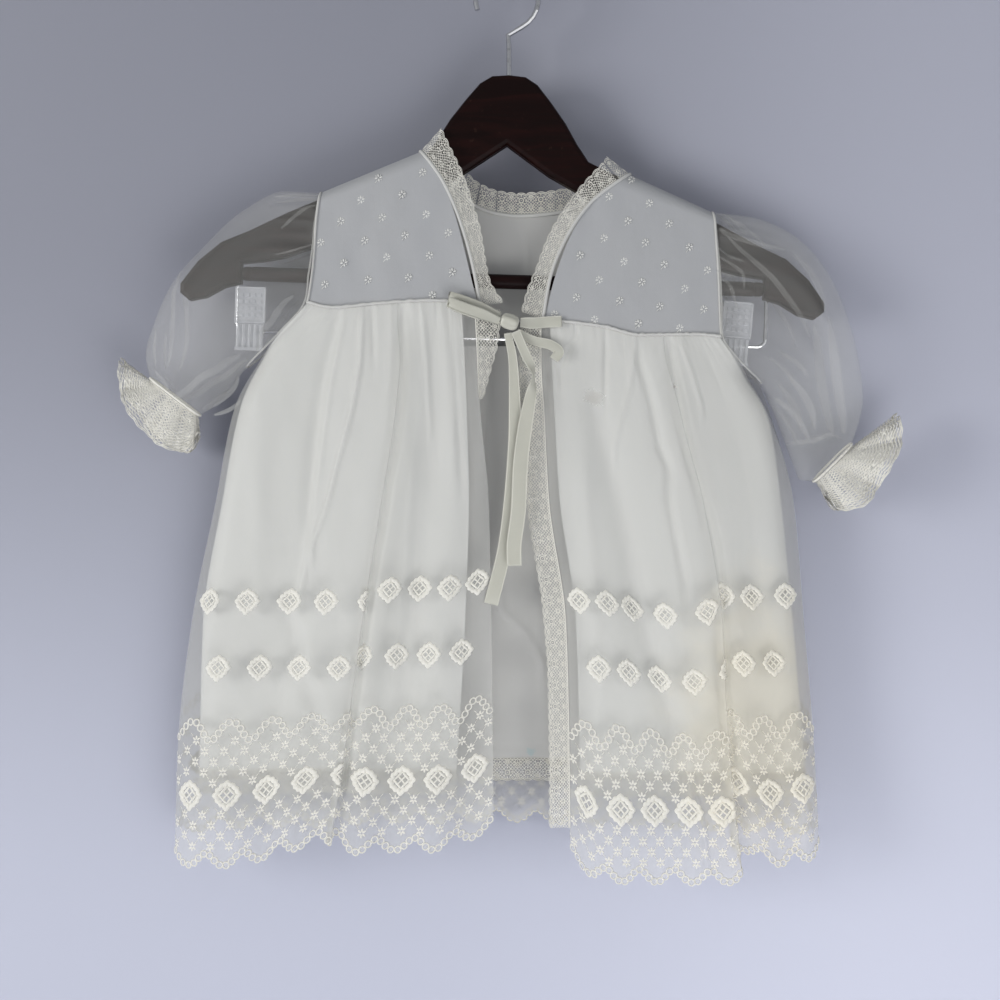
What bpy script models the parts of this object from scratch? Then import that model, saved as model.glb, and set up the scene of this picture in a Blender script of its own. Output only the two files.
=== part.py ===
"""Sheer christening coat with an open front, hung on a wooden hanger with a trouser bar.

Left and right are the viewer's, looking along +Y at the front. The origin is the inside top of
the hanger's hook, where a rail carries it. Tables are in millimetres and the model is in metres.
Each cloth panel is a wall lofted from a short table: a row for each fold line, from seam to hem.
"""
import math

import bmesh
import bpy
import numpy as np
from mathutils import Matrix

MM = 0.001
WALL = 1.1
SEAM_GAP = 0.3
SEAM_PLANE = 0.16

# Bordered organza
QUARTERS = 4
SCALLOP_RISE = 9.0
MEDALLION_RAISE = 0.8
MEDALLION_ROWS = ((48.0, 2), (130.0, 0), (173.0, 2))
BORDER_ROWS = (0.0, 14.0, 38.0, 48.0, 58.0, 122.0, 130.0, 138.0, 165.0, 173.0, 181.0)
FRONT_UPPER_SHARES = (0.2, 0.45, 0.7, 0.88, 1.0)
BACK_UPPER_SHARES = (0.5, 1.0)
GATHER_DEPTH = 0.75
GATHER_FADE = 30.0
SIDE_ROUND_COLUMNS = 3.0

# Hanger
HANGER_TILT = math.radians(1.75)
APEX_Z = -116.0
WOOD_THICK = 12.0
WOOD_BEVEL = 3.0
BAR_RADIUS = 4.8
BAR_HALF_LENGTH = 171.6
BAR_DROP = 89.5
ROD_RADIUS = 1.25
ROD_HALF_WIDTH = 174.3
ROD_TOP_DROP = 97.6
ROD_DROP = 127.5
CLIP_HALF_WIDTH = 10.0
CLIP_LENGTH = -42.0
CLIP_ABOVE_ROD = 29.0
CLIP_FRONT = -4.9
CLIP_THICK = 3.3
HOOK_WIRE_RADIUS = 1.75
HOOK_INNER_RADIUS = 19.0
HOOK_NECK = 12.0
HOOK_LEAN = 0.8
HOOK_START = math.radians(-62)
HOOK_END = math.radians(200)
ROD_BEND = 5.0
WOOD_APEX = 46.0
CLIPS = (("clip_left", -165.5, 0.0), ("clip_right", 155.5, 3.0))
CLIP_WAIST = 1.0
CLIP_PLATE = -24.0
CLIP_FOOT = -28.0
CLIP_BEVEL = 0.8

# Half outline of the wood, across and up from the underside of its apex
WOOD_HALF = (
    (0, 46), (11, 45), (19, 40), (28, 29), (38, 15.5), (46, 2), (54, -9.5), (68, -16), (94, -26),
    (121, -39), (142, -48.3), (168, -61.5), (186, -69.5), (201, -82.5), (212, -97.5), (212, -103.5),
    (206, -108.4), (195, -106), (183, -99), (172, -96), (172, -83), (157, -81), (144, -78.3),
    (125, -70.7), (50, -31), (28, -19.4), (0, 0),
)

# Heights of the section rows below, in z; the first is the seam itself
LEFT_HEIGHTS = (-222, -250, -290, -350, -430, -510, -580)
RIGHT_HEIGHTS = (-238, -258, -295, -350, -430, -510, -590)
BACK_HEIGHTS = (-232, -262, -290, -350, -430, -510, -570)

# Fold lines: quarter pitches from the panel's left edge; x at each height; y at each height
LEFT_FOLDS = (
    (0, (-131, -157, -180, -192, -208, -217, -219), (-12, -12, -12, -13, -14, -15, -16)),
    (5, (-118, -137, -153, -163, -175, -184, -187), (-12.5, -15, -17, -18, -19, -20, -21)),
    (9, (-109, -117, -124, -131, -144, -154, -160), (-12, -12.6, -13.2, -14, -15, -17, -19)),
    (13, (-94, -97, -102, -113, -122, -131, -139), (-12.5, -16, -18, -20, -21.5, -23, -24)),
    (16, (-72, -72, -75, -84, -96.6, -107.5, -118), (-12.8, -17, -20, -22.5, -24, -25, -26)),
    (17, (-70.5, -70, -72.5, -81.5, -94, -105, -115), (-12, -14, -16, -18, -19.5, -20.5, -21.5)),
    (21, (-60, -58, -59, -66, -78, -88, -98), (-12.5, -15.5, -18, -20, -22, -23, -24.5)),
    (25, (-49, -47, -47, -51, -60, -67, -74), (-12, -13, -14.5, -16, -17.5, -18.5, -19.5)),
    (29, (-39, -37, -35, -35, -41, -46, -50), (-12.5, -15.5, -18, -20, -22, -23.5, -25)),
    (33, (-29, -27, -24.5, -21, -22, -24, -26), (-12, -13, -14, -15.5, -17, -18, -19)),
    (36, (-21, -19.5, -17.5, -12, -10.2, -9.2, -8.6), (-12, -13, -14, -15, -16, -17, -18)),
)
RIGHT_FOLDS = (
    (0, (22, 22, 24, 27, 38, 40, 41), (-12, -13, -14, -15, -16, -17, -17)),
    (4, (37, 38, 41, 48, 61, 65, 67), (-12.5, -15.5, -18, -19, -20.5, -21.5, -22)),
    (10, (60, 60, 62, 74, 91, 104, 107), (-12, -13, -14.5, -16, -17.5, -18.5, -19.5)),
    (14, (81, 82, 87, 99, 114, 123, 129), (-12.5, -16, -19, -21, -22.5, -23.5, -24.5)),
    (18, (101, 102, 109, 123, 135.5, 139.5, 147.5), (-12.8, -17, -20, -22.5, -24, -25, -26)),
    (19, (102.5, 104, 111.5, 126, 138.5, 142.5, 150.5), (-12, -14, -16, -18, -19.5, -20.5, -21.5)),
    (23, (113, 117, 127, 141, 151, 156, 166), (-12.5, -16, -18, -20, -21.5, -23, -24)),
    (27, (125, 132, 145, 160, 169, 177, 186), (-12, -13, -14, -15.5, -17, -18, -19)),
    (32, (140, 151, 173, 189, 196, 202.5, 206), (-12, -12, -12, -13, -14, -15, -16)),
)
BACK_FOLDS = (
    (0, (-131, -163, -180, -192, -208, -217, -219), (12, 12, 12, 13, 14, 15, 16)),
    (7, (-102, -124, -137, -147, -158, -167, -172), (12.5, 15, 17, 19, 21, 22, 23)),
    (13, (-78, -91, -98, -108, -116, -122, -127), (12, 12.8, 13.5, 14.5, 15.5, 16.5, 17.5)),
    (20, (-49, -54, -59, -66, -72, -75, -79), (12.5, 16, 18, 20, 22, 24, 25)),
    (26, (-24, -27, -30, -33, -37, -40, -42), (12, 12.8, 13.5, 14.5, 15.5, 16.5, 17.5)),
    (32, (2, 2, 1, 0, -1, -2, -3), (12.5, 15, 17, 19, 20, 21.5, 22.5)),
    (39, (31, 34, 37, 40, 42, 44, 46), (12, 12.8, 13.5, 14.5, 15.5, 16.5, 17.5)),
    (45, (56, 62, 68, 76, 81, 84, 87), (12.5, 16, 18.5, 20.5, 22.5, 24, 25.5)),
    (51, (82, 92, 103, 114, 120, 124, 127), (12, 12.8, 13.5, 14.5, 15.5, 16.5, 17.5)),
    (58, (113, 128, 143, 157, 164, 169, 172), (12.5, 15, 17, 19, 21, 22, 23)),
    (64, (140, 161, 173, 189, 196, 202.5, 206), (12, 12, 12, 13, 14, 15, 16)),
)

# Lowest points of each hem: quarter pitches from the left edge, z
LEFT_HEM = ((0, -589), (6, -588), (12, -579), (16, -572), (17, -573), (22, -579), (29, -577), (36, -566))
RIGHT_HEM = ((0, -584), (3, -597), (10, -599), (18, -597), (19, -577), (25, -587), (32, -582))
BACK_HEM = ((0, -574), (16, -570), (32, -568), (48, -572), (64, -576))

# Chest seam, x and z, and the underarm points
LEFT_SEAM = ((-131, -221), (-114, -224.5), (-85, -222), (-50, -220), (-17, -223), (-2, -226))
RIGHT_SEAM = ((9, -230), (23, -232), (63, -237), (87, -242.5), (123, -242), (140, -243.5))
BACK_SEAM = ((-131, -222), (0, -230), (140, -243.5))
LEFT_UNDERARM_Z = -262.5
RIGHT_UNDERARM_Z = -273.0

# Yoke rows: share of the way down, armhole x and z, neck x and z
LEFT_YOKE = (
    (0.0, -122, -147, -57, -120), (0.25, -124.5, -166, -42, -141), (0.5, -126, -184, -32, -163),
    (0.75, -128.5, -203, -23.5, -191), (1.0, -131, -221, -17, -223),
)
RIGHT_YOKE = (
    (0.0, 135, -160, 81, -135), (0.25, 136.5, -181, 53, -157), (0.5, 138, -201, 37, -181),
    (0.75, 139, -222, 28, -204), (1.0, 140, -243.5, 23, -232),
)
YOKE_SHARES = (0.0, 0.02, 0.06, 0.12, 0.4, 0.7, 1.0)
YOKE_DEPTH = 11.0
SHOULDER_ROLL = 9.0

# Back yoke columns: top x and z, bottom x; 1 where the top rolls over the hanger
BACK_YOKE = (
    (-122, -147, -131, 1), (-106, -140.6, -116, 1), (-88, -133.5, -98, 1), (-70, -126.3, -80, 1),
    (-57, -120, -66, 1), (-54, -123, -62, 0), (-38, -140, -41, 0), (-25, -151, -26, 0),
    (-8, -158, -9, 0), (8, -160, 8, 0), (25, -159, 26, 0), (43, -156, 45, 0), (60, -147, 63, 0),
    (78, -137.2, 84, 0), (81, -135, 88, 1), (95, -141.8, 101, 1), (108, -147.8, 114, 1),
    (122, -154, 127, 1), (135, -160, 140, 1),
)

# How the armhole bows toward the body: share along the sleeve's section, share of the bow
LEFT_BOW = ((0, 0), (0.165, 0.25), (0.32, 0.53), (0.487, 0.78), (0.643, 1), (0.81, 0.62), (1, 0))
RIGHT_BOW = ((0, 0), (0.185, 0.25), (0.363, 0.47), (0.55, 0.73), (0.741, 1), (0.87, 0.64), (1, 0))

# Sleeve sections: outer x and z, inner x and z, half depth, bow toward the body
LEFT_SLEEVE = (
    (-122.6, -147.0, -171.6, -262.0, 12.5, 22.0), (-146.5, -146.0, -174.5, -264.5, 17.0, 8.0),
    (-172.9, -158.5, -177.5, -268.0, 20.0, 2.0), (-199.3, -183.0, -181.0, -272.4, 22.0, 0.0),
    (-219.1, -205.7, -185.0, -278.4, 22.0, 0.0), (-231.0, -230.8, -189.5, -283.6, 20.0, 0.0),
    (-237.6, -253.9, -195.5, -288.9, 15.0, 0.0), (-235.0, -270.4, -203.3, -294.2, 7.0, 0.0),
)
RIGHT_SLEEVE = (
    (136.0, -160.2, 167.6, -272.6, 12.5, 18.6), (161.7, -163.5, 172.0, -281.0, 17.0, 8.0),
    (186.8, -174.1, 176.5, -291.6, 20.0, 2.0), (207.9, -195.8, 181.0, -303.4, 22.0, 0.0),
    (221.5, -223.5, 186.0, -316.6, 22.0, 0.0), (231.0, -257.2, 190.5, -328.5, 20.0, 0.0),
    (234.3, -283.6, 194.0, -336.4, 15.0, 0.0), (226.5, -314.9, 203.3, -337.4, 7.0, 0.0),
)
SLEEVE_COLUMNS = 26
SLEEVE_FOLD_DEPTH = 1.6
SLEEVE_FOLDS = 7
RING_POWER = 2.6

# Cuff frill: share along the cuff from its outer end, then the lace edge's x and z
LEFT_FRILL = (
    (0.0, -255.0, -256.0), (0.15, -253.5, -275.0), (0.32, -246.0, -293.0), (0.5, -235.5, -306.0),
    (0.68, -223.0, -315.5), (0.84, -211.5, -318.0), (1.0, -202.5, -305.0),
)
RIGHT_FRILL = (
    (0.0, 257.5, -292.5), (0.15, 258.5, -309.0), (0.32, 251.5, -324.5), (0.5, 243.0, -340.0),
    (0.68, 232.0, -353.5), (0.84, 218.5, -356.5), (1.0, 209.0, -344.0),
)
FRILL_COLUMNS = 36
FRILL_WAVES = 9
FRILL_WAVE_DEPTH = 2.2
CUFF_GAP = 0.35

# Front neck lace: share of the way down the yoke's neck edge, then the free edge's x and z
LEFT_NECK_LACE = (
    (0.0, -43.4, -105.4), (0.02, -43, -106.8), (0.05, -41.5, -110.5), (0.12, -38.2, -117.6),
    (0.35, -28.5, -138), (0.5, -21.5, -159), (0.6, -18, -171), (0.75, -14.5, -191), (0.88, -11.5, -206),
    (1.0, -2.5, -221),
)
RIGHT_NECK_LACE = (
    (0.0, 66, -124), (0.02, 65.4, -125.5), (0.05, 64, -128), (0.12, 60, -132.5), (0.25, 47.5, -146),
    (0.5, 28, -175.5), (0.75, 18.5, -200), (0.88, 13, -214), (1.0, 9.5, -227),
)

# Back neck lace: sewn edge x and z, free edge x and z
BACK_NECK_LACE = (
    (-52.5, -123.8, -41, -113.5), (-46, -131.2, -36, -120.5), (-37.4, -139.4, -30, -127.5),
    (-24.8, -150.4, -21, -136.6), (-8, -157.4, -7, -143.2), (8, -159.4, 8, -145), (25, -158.4, 25, -144),
    (42.6, -155.4, 42, -141), (59.4, -146.4, 55, -134), (72, -139.6, 64, -129.5),
)

# Lace down the front edges: z and width
LEFT_FRONT_LACE = ((-225.5, 16.5), (-245, 14), (-262, 9), (-284, 2))
RIGHT_FRONT_LACE = (
    (-234, 12.5), (-262, 14), (-290, 16.5), (-323, 13), (-355, 14), (-390, 14), (-420, 14), (-465, 12.5),
    (-512, 12.5), (-562, 13),
)
EDGE_GAP = 0.5

# Lining edges at each height: left x, right x
LINING_HEIGHTS = (-224, -256, -290, -350, -430, -526)
LEFT_LINING = ((-129, -30), (-158, -28), (-175.5, -26.5), (-187.5, -25), (-200.5, -27.5), (-203, -33))
RIGHT_LINING_HEIGHTS = (-246, -268, -300, -350, -430, -528)
RIGHT_LINING = ((28, 138), (29, 154), (31, 173), (34, 180.5), (45, 188.5), (48, 197))
BACK_LINING_HEIGHTS = (-247, -268, -300, -350, -430, -521)
BACK_LINING = ((-150, 136), (-165, 154), (-176, 171), (-187, 180), (-200, 188), (-203, 197))
LINING_DEPTH = 8.6
LINING_ROUND = 13.0
LINING_LACE_DROP = 15.5
LINING_COLUMNS = 13
LINING_ROWS = 7
LINING_BELOW_SEAM = 2.0
LINING_TOP_RISE = 22.0
LINING_WAVE = 1.6
LINING_WAVE_TURNS = 9.0
LACE_POINT = 1.2

# Ribbon strips: x, y, z, width; the strip's flat side faces the front
RIBBONS = {
    "ribbon_loop_upper": (
        (-4.6, -17.6, -230.6, 5), (-16, -18.6, -224.5, 5), (-28, -18.8, -219.5, 4.5), (-36.5, -17.6, -216.5, 4),
        (-37.4, -15.8, -216.2, 4), (-27, -14.9, -219.4, 4.5), (-16, -14.7, -224, 5),
    ),
    "ribbon_loop_lower": (
        (-4.9, -20.9, -234.2, 5), (-17, -24.2, -229.8, 7), (-29, -24, -225.4, 7), (-37, -22.8, -222, 6.5),
        (-37.6, -21.2, -222, 6.5), (-29, -20.6, -225.8, 7), (-17, -20.6, -230.2, 7),
    ),
    "ribbon_band": (
        (8.6, -17.4, -234.5, 6), (16, -16, -234.8, 7.5), (25, -14, -234, 7.4), (35.6, -13.7, -233.4, 7.4),
    ),
    "ribbon_loop_right": (
        (6.2, -17.6, -240.6, 4.5), (18, -16.9, -246.5, 6), (28, -16.6, -249, 6.5), (33.5, -16.4, -253.5, 6.5),
        (30.5, -16.6, -258.5, 6),
    ),
    "ribbon_tail_front": (
        (5.4, -20, -240.6, 6), (12, -20.8, -256, 6), (17.2, -20.4, -269, 5), (14.5, -20.8, -286, 8),
        (11.4, -21.2, -304, 9.5), (8.4, -21.8, -330, 9.8), (7.2, -22.2, -356, 9.8), (4.4, -22.6, -380, 9.6),
        (4.6, -22.8, -392, 9.4),
    ),
    "ribbon_tail_back": (
        (0.4, -17.4, -241.4, 5), (4, -17.4, -262, 6), (5, -17.4, -300, 8), (2.5, -17.6, -345, 8.5),
        (-1.5, -18, -380, 9), (-6, -18.4, -400, 9.2), (-9.2, -18.8, -412, 9.2), (-10.4, -18.8, -417, 9.2),
    ),
}
RIBBON_THICK = 1.0
KNOT_SIZE = (11.8, 6.2, 9.8)
KNOT_PLACE = (1.5, -18.6, -234.5)
KNOT_TURN = math.radians(20)
KNOT_ROUND = 2.0

# Piped bands over the front yoke seams: x of the ends, and how far above the seam they start and stop
LEFT_BAND_ENDS = (-130.6, -18.0)
RIGHT_BAND_ENDS = (24.5, 139.6)
BAND_RISE = (0.4, 3.6)
BAND_ROWS = 17
BAND_THICK = 1.7
BAND_DEPTH = YOKE_DEPTH + SEAM_GAP + BAND_THICK + 0.2
BAND_UNEVEN = 0.2


def clear_scene():
    for old in list(bpy.data.objects):
        bpy.data.objects.remove(old, do_unlink=True)


def material(name, colour, roughness, metallic=0.0):
    made = bpy.data.materials.new(name)
    made.use_nodes = True
    shader = made.node_tree.nodes["Principled BSDF"]
    shader.inputs["Base Color"].default_value = (*colour, 1.0)
    shader.inputs["Roughness"].default_value = roughness
    shader.inputs["Metallic"].default_value = metallic
    return made


def keep(obj, finish):
    obj.data.materials.clear()
    obj.data.materials.append(finish)
    for holder in list(obj.users_collection):
        holder.objects.unlink(obj)
    bpy.data.collections["christening_coat"].objects.link(obj)
    return obj


def smooth(stations, values, at):
    """A curve through the values that doesn't overshoot them, read at the given places."""
    x = np.asarray(stations, float)
    y = np.asarray(values, float)
    at = np.clip(np.asarray(at, float), x[0], x[-1])
    step = np.diff(x)
    rise = np.diff(y) / step
    slope = np.zeros(len(x))
    slope[0], slope[-1] = rise[0], rise[-1]
    for i in range(1, len(x) - 1):
        if rise[i - 1] * rise[i] > 0:
            slope[i] = 2 * rise[i - 1] * rise[i] / (rise[i - 1] + rise[i])
    i = np.clip(np.searchsorted(x, at, side="right") - 1, 0, len(step) - 1)
    t = (at - x[i]) / step[i]
    ahead = t * t * (3 - 2 * t)
    return (
        y[i] * (1 - ahead) + y[i + 1] * ahead
        + step[i] * (slope[i] * t * (1 - t) ** 2 - slope[i + 1] * t * t * (1 - t))
    )


def ease(t):
    t = min(max(t, 0.0), 1.0)
    return t * t * (3 - 2 * t)


def grid_normals(points, ring):
    """Unit normals of a grid of points, rows by columns; a ring's columns close on themselves."""
    if ring:
        wide = np.concatenate([points[:, -1:], points, points[:, :1]], axis=1)
        along = wide[:, 2:] - wide[:, :-2]
    else:
        along = np.gradient(points, axis=1)
    down = np.gradient(points, axis=0)
    normal = np.cross(along, down)
    return normal / np.maximum(np.linalg.norm(normal, axis=2, keepdims=True), 1e-9)


def wall_between(name, outer, inner, finish, ring=False):
    """A closed cloth wall between two grids of points in millimetres, with a rim along its free edges."""
    rows, columns = outer.shape[:2]
    mesh = bmesh.new()
    layers = []
    for grid in (outer, inner):
        layers.append([[mesh.verts.new(grid[r, c] * MM) for c in range(columns)] for r in range(rows)])
    last = columns if ring else columns - 1
    for r in range(rows - 1):
        for c in range(last):
            n = (c + 1) % columns
            for layer in layers:
                mesh.faces.new((layer[r][c], layer[r][n], layer[r + 1][n], layer[r + 1][c]))
    first, second = layers
    for r in (0, rows - 1):
        for c in range(last):
            n = (c + 1) % columns
            mesh.faces.new((first[r][c], first[r][n], second[r][n], second[r][c]))
    if not ring:
        for c in (0, columns - 1):
            for r in range(rows - 1):
                mesh.faces.new((first[r][c], first[r + 1][c], second[r + 1][c], second[r][c]))
    bmesh.ops.triangulate(mesh, faces=mesh.faces[:])
    bmesh.ops.recalc_face_normals(mesh, faces=mesh.faces[:])
    data = bpy.data.meshes.new(name)
    mesh.to_mesh(data)
    mesh.free()
    data.shade_smooth()
    obj = bpy.data.objects.new(name, data)
    bpy.context.scene.collection.objects.link(obj)
    return keep(obj, finish)


def cloth(name, points, side, finish, thick=WALL, raised=None):
    """A wall whose outer points are given; side is -1 for the front, 1 for the back of the coat."""
    normals = grid_normals(points, False)
    if np.mean(normals[..., 1]) * side < 0:
        normals = -normals
    inner = points - normals * thick
    outer = points.copy()
    if raised is not None:
        outer = outer + normals * raised[..., None]
    for grid in (outer, inner):
        grid[..., 1] = side * np.maximum(grid[..., 1] * side, SEAM_PLANE)
    return wall_between(name, outer, inner, finish)


def seam_height(seam, x):
    return smooth([p[0] for p in seam], [p[1] for p in seam], x)


def side_closing(z, top, underarm, inward):
    """Brings a panel round to the side seam below the underarm, and leaves the armhole open above it."""
    closing = ease((top - z) / (top - underarm)) ** 3
    arc = math.sqrt(1.004 - (1 - inward) ** 2)
    return 1 - closing * (1 - min(arc, 1.0))


def skirt_points(folds, heights, hem, seam, rows, uppers, underarms, side):
    """Outer points of a gathered panel, top row first, and how far each is raised by embroidery."""
    stations = [f[0] for f in folds]
    columns = np.arange(stations[-1] + 1)
    down = [-h for h in heights]
    top_x = smooth(stations, [f[1][0] for f in folds], columns)
    low = smooth([h[0] for h in hem], [h[1] for h in hem], columns)
    top = seam_height(seam, top_x) - SEAM_GAP
    places = [(share, None) for share in reversed(uppers)] + [(0.0, up) for up in reversed(rows)]
    points = np.zeros((len(places), len(columns), 3))
    raised = np.zeros(points.shape[:2])
    for c in columns:
        at_x = [smooth(stations, [f[1][i] for f in folds], [c])[0] for i in range(len(heights))]
        at_y = [smooth(stations, [f[2][i] for f in folds], [c])[0] for i in range(len(heights))]
        to_edge = [(c, underarms[0]), (stations[-1] - c, underarms[1])]
        for r, (share, up) in enumerate(places):
            border_top = low[c] + rows[-1]
            z = border_top + (top[c] - border_top) * share if up is None else low[c] + up
            if up == 0.0:
                z += SCALLOP_RISE * (0.5 + 0.5 * math.cos(2 * math.pi * c / QUARTERS))
            depth_at = [-top[c]] + down[1:]
            x = smooth(depth_at, at_x, [-z])[0]
            y = smooth(depth_at, at_y, [-z])[0]
            fade = math.exp(-(top[c] - z) / GATHER_FADE)
            y += side * GATHER_DEPTH * fade * (1 if c % 2 else -1)
            for distance, underarm in to_edge:
                if underarm is not None and distance < SIDE_ROUND_COLUMNS:
                    y *= side_closing(z, top[c], underarm, distance / SIDE_ROUND_COLUMNS)
            points[r, c] = (x, y, z)
            for height, first in MEDALLION_ROWS:
                if up is None or (c - first) % QUARTERS or not 0 < c < stations[-1]:
                    continue
                if up == height:
                    raised[r, c] = MEDALLION_RAISE
    return points, raised


def skirts(organza):
    panels = (
        ("skirt_front_left", LEFT_FOLDS, LEFT_HEIGHTS, LEFT_HEM, LEFT_SEAM, (LEFT_UNDERARM_Z, None), -1),
        ("skirt_front_right", RIGHT_FOLDS, RIGHT_HEIGHTS, RIGHT_HEM, RIGHT_SEAM, (None, RIGHT_UNDERARM_Z), -1),
        (
            "skirt_back", BACK_FOLDS, BACK_HEIGHTS, BACK_HEM, BACK_SEAM,
            (LEFT_UNDERARM_Z, RIGHT_UNDERARM_Z), 1,
        ),
    )
    edges = {}
    for name, folds, heights, hem, seam, underarms, side in panels:
        uppers = BACK_UPPER_SHARES if side > 0 else FRONT_UPPER_SHARES
        points, raised = skirt_points(folds, heights, hem, seam, BORDER_ROWS, uppers, underarms, side)
        cloth(name, points, side, organza, raised=raised)
        edges[name] = points
    return edges


def shoulder_depth(distance):
    """How far the cloth stands out from the shoulder line, a distance below it."""
    t = min(max(distance / SHOULDER_ROLL, 0.0), 1.0)
    return SEAM_PLANE + (YOKE_DEPTH - SEAM_PLANE) * math.sqrt(1 - (1 - t) ** 2)


def front_yoke(name, rows, seam, finish):
    shares = [r[0] for r in rows]
    columns = 9
    points = np.zeros((len(YOKE_SHARES), columns, 3))
    for r, v in enumerate(YOKE_SHARES):
        arm_x, arm_z, neck_x, neck_z = (smooth(shares, [row[k] for row in rows], [v])[0] for k in range(1, 5))
        for c in range(columns):
            u = c / (columns - 1)
            x = arm_x + (neck_x - arm_x) * u
            z = arm_z + (neck_z - arm_z) * u
            z += (seam_height(seam, [x])[0] - z) * v ** 3
            top = rows[0][2] + (rows[0][4] - rows[0][2]) * u
            points[r, c] = (x, -shoulder_depth(top - z), z)
    return cloth(name, points, -1, finish)


def back_yoke(finish):
    shares = YOKE_SHARES
    points = np.zeros((len(shares), len(BACK_YOKE), 3))
    for c, (top_x, top_z, low_x, rolls) in enumerate(BACK_YOKE):
        low_z = seam_height(BACK_SEAM, [low_x])[0]
        for r, v in enumerate(shares):
            z = top_z + (low_z - top_z) * v
            y = shoulder_depth(top_z - z) if rolls else YOKE_DEPTH
            points[r, c] = (top_x + (low_x - top_x) * v, y, z)
    return cloth("yoke_back", points, 1, finish)


def strip(name, rows, depth, side, finish, columns=3, thick=1.0, wave=0.0):
    """A narrow flat wall between a sewn edge and a free edge; depth is a function of x, z and the row."""
    points = np.zeros((len(rows), columns, 3))
    for r, (sewn_x, sewn_z, free_x, free_z) in enumerate(rows):
        for c in range(columns):
            u = c / (columns - 1)
            x = sewn_x + (free_x - sewn_x) * u
            z = sewn_z + (free_z - sewn_z) * u
            y = depth(x, z, r) + wave * u * math.sin(2.1 * r)
            points[r, c] = (x, y, z)
    return cloth(name, points, side, finish, thick)


def subdivided(rows, steps):
    """The table's rows with smooth rows between them."""
    count = len(rows)
    at = np.linspace(0, count - 1, (count - 1) * steps + 1)
    columns = [smooth(range(count), [row[k] for row in rows], at) for k in range(len(rows[0]))]
    return list(zip(*columns))


def neck_laces(lace):
    for name, rows, yoke, hand in (
        ("lace_neck_left", LEFT_NECK_LACE, LEFT_YOKE, 1), ("lace_neck_right", RIGHT_NECK_LACE, RIGHT_YOKE, -1),
    ):
        shares = [r[0] for r in yoke]
        whole, depths = [], []
        for share, free_x, free_z in rows:
            sewn_x, sewn_z = (smooth(shares, [row[k] for row in yoke], [share])[0] for k in (3, 4))
            whole.append((sewn_x + hand * EDGE_GAP, sewn_z, free_x, free_z))
            depths.append(shoulder_depth(yoke[0][4] - sewn_z))
        strip(name, whole, lambda x, z, r: -depths[r], -1, lace)
    strip("lace_neck_back", BACK_NECK_LACE, lambda x, z, r: YOKE_DEPTH - 0.4, 1, lace)


def front_laces(edges, lace):
    for name, rows, panel, column, hand in (
        ("lace_front_left", LEFT_FRONT_LACE, "skirt_front_left", -1, 1),
        ("lace_front_right", RIGHT_FRONT_LACE, "skirt_front_right", 0, -1),
    ):
        edge = edges[panel][::-1, column]
        whole = []
        for z, width in subdivided(rows, 2):
            sewn = np.interp(z, edge[:, 2], edge[:, 0]) + hand * EDGE_GAP
            whole.append((sewn, z, sewn + hand * width, z))
        strip(name, whole, lambda x, z, r: np.interp(z, edge[:, 2], edge[:, 1]), -1, lace, wave=0.6)


def seam_bands(finish):
    for name, seam, (first, last) in (
        ("seam_band_left", LEFT_SEAM, LEFT_BAND_ENDS), ("seam_band_right", RIGHT_SEAM, RIGHT_BAND_ENDS),
    ):
        rows = []
        for x in np.linspace(first, last, BAND_ROWS):
            z = seam_height(seam, [x])[0]
            rows.append((x, z + BAND_RISE[0], x, z + BAND_RISE[1]))
        strip(
            name, rows, lambda x, z, r: BAND_UNEVEN * math.sin(1.7 * r) - BAND_DEPTH, -1, finish, 2, BAND_THICK,
        )


def lining(name, heights, edges, seam, underarms, side, finish, lace):
    shares = np.linspace(0, 1, LINING_COLUMNS)
    down = [-h for h in heights]
    points = []
    for z in np.linspace(heights[0], heights[-1], LINING_ROWS):
        left = smooth(down, [e[0] for e in edges], [-z])[0]
        right = smooth(down, [e[1] for e in edges], [-z])[0]
        fall = (heights[0] - z) / (heights[0] - heights[-1])
        row = []
        for u in shares:
            x = left + (right - left) * u
            top = heights[0]
            if side < 0:
                top = min(seam_height(seam, [x])[0] - LINING_BELOW_SEAM, top + LINING_TOP_RISE)
            y = LINING_DEPTH + LINING_WAVE * fall * math.sin(LINING_WAVE_TURNS * u + 0.4)
            for inward, underarm in ((x - left, underarms[0]), (right - x, underarms[1])):
                if underarm is not None and inward < LINING_ROUND:
                    y *= side_closing(z, seam_height(seam, [x])[0], underarm, inward / LINING_ROUND)
            row.append((x, side * y, z + (top - heights[0]) * (1 - fall) ** 2))
        points.append(row)
    points = np.array(points)
    cloth(name, points, side, finish)
    low = points[-1]
    hem = [
        (p[0], p[2] - SEAM_GAP, p[0], p[2] - LINING_LACE_DROP + LACE_POINT * (i % 2))
        for i, p in enumerate(low)
    ]
    strip(name.replace("lining", "lining_lace"), hem, lambda x, z, r: low[r][1], side, lace, 2)


def linings(finish, lace):
    left, right = LEFT_UNDERARM_Z, RIGHT_UNDERARM_Z
    for name, heights, edges, seam, underarms, side in (
        ("lining_front_left", LINING_HEIGHTS, LEFT_LINING, LEFT_SEAM, (left, None), -1),
        ("lining_front_right", RIGHT_LINING_HEIGHTS, RIGHT_LINING, RIGHT_SEAM, (None, right), -1),
        ("lining_back", BACK_LINING_HEIGHTS, BACK_LINING, BACK_SEAM, (left, right), 1),
    ):
        lining(name, heights, edges, seam, underarms, side, finish, lace)


def ring_depth(w):
    return (1 - abs(2 * w - 1) ** RING_POWER) ** (1 / RING_POWER)


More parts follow.
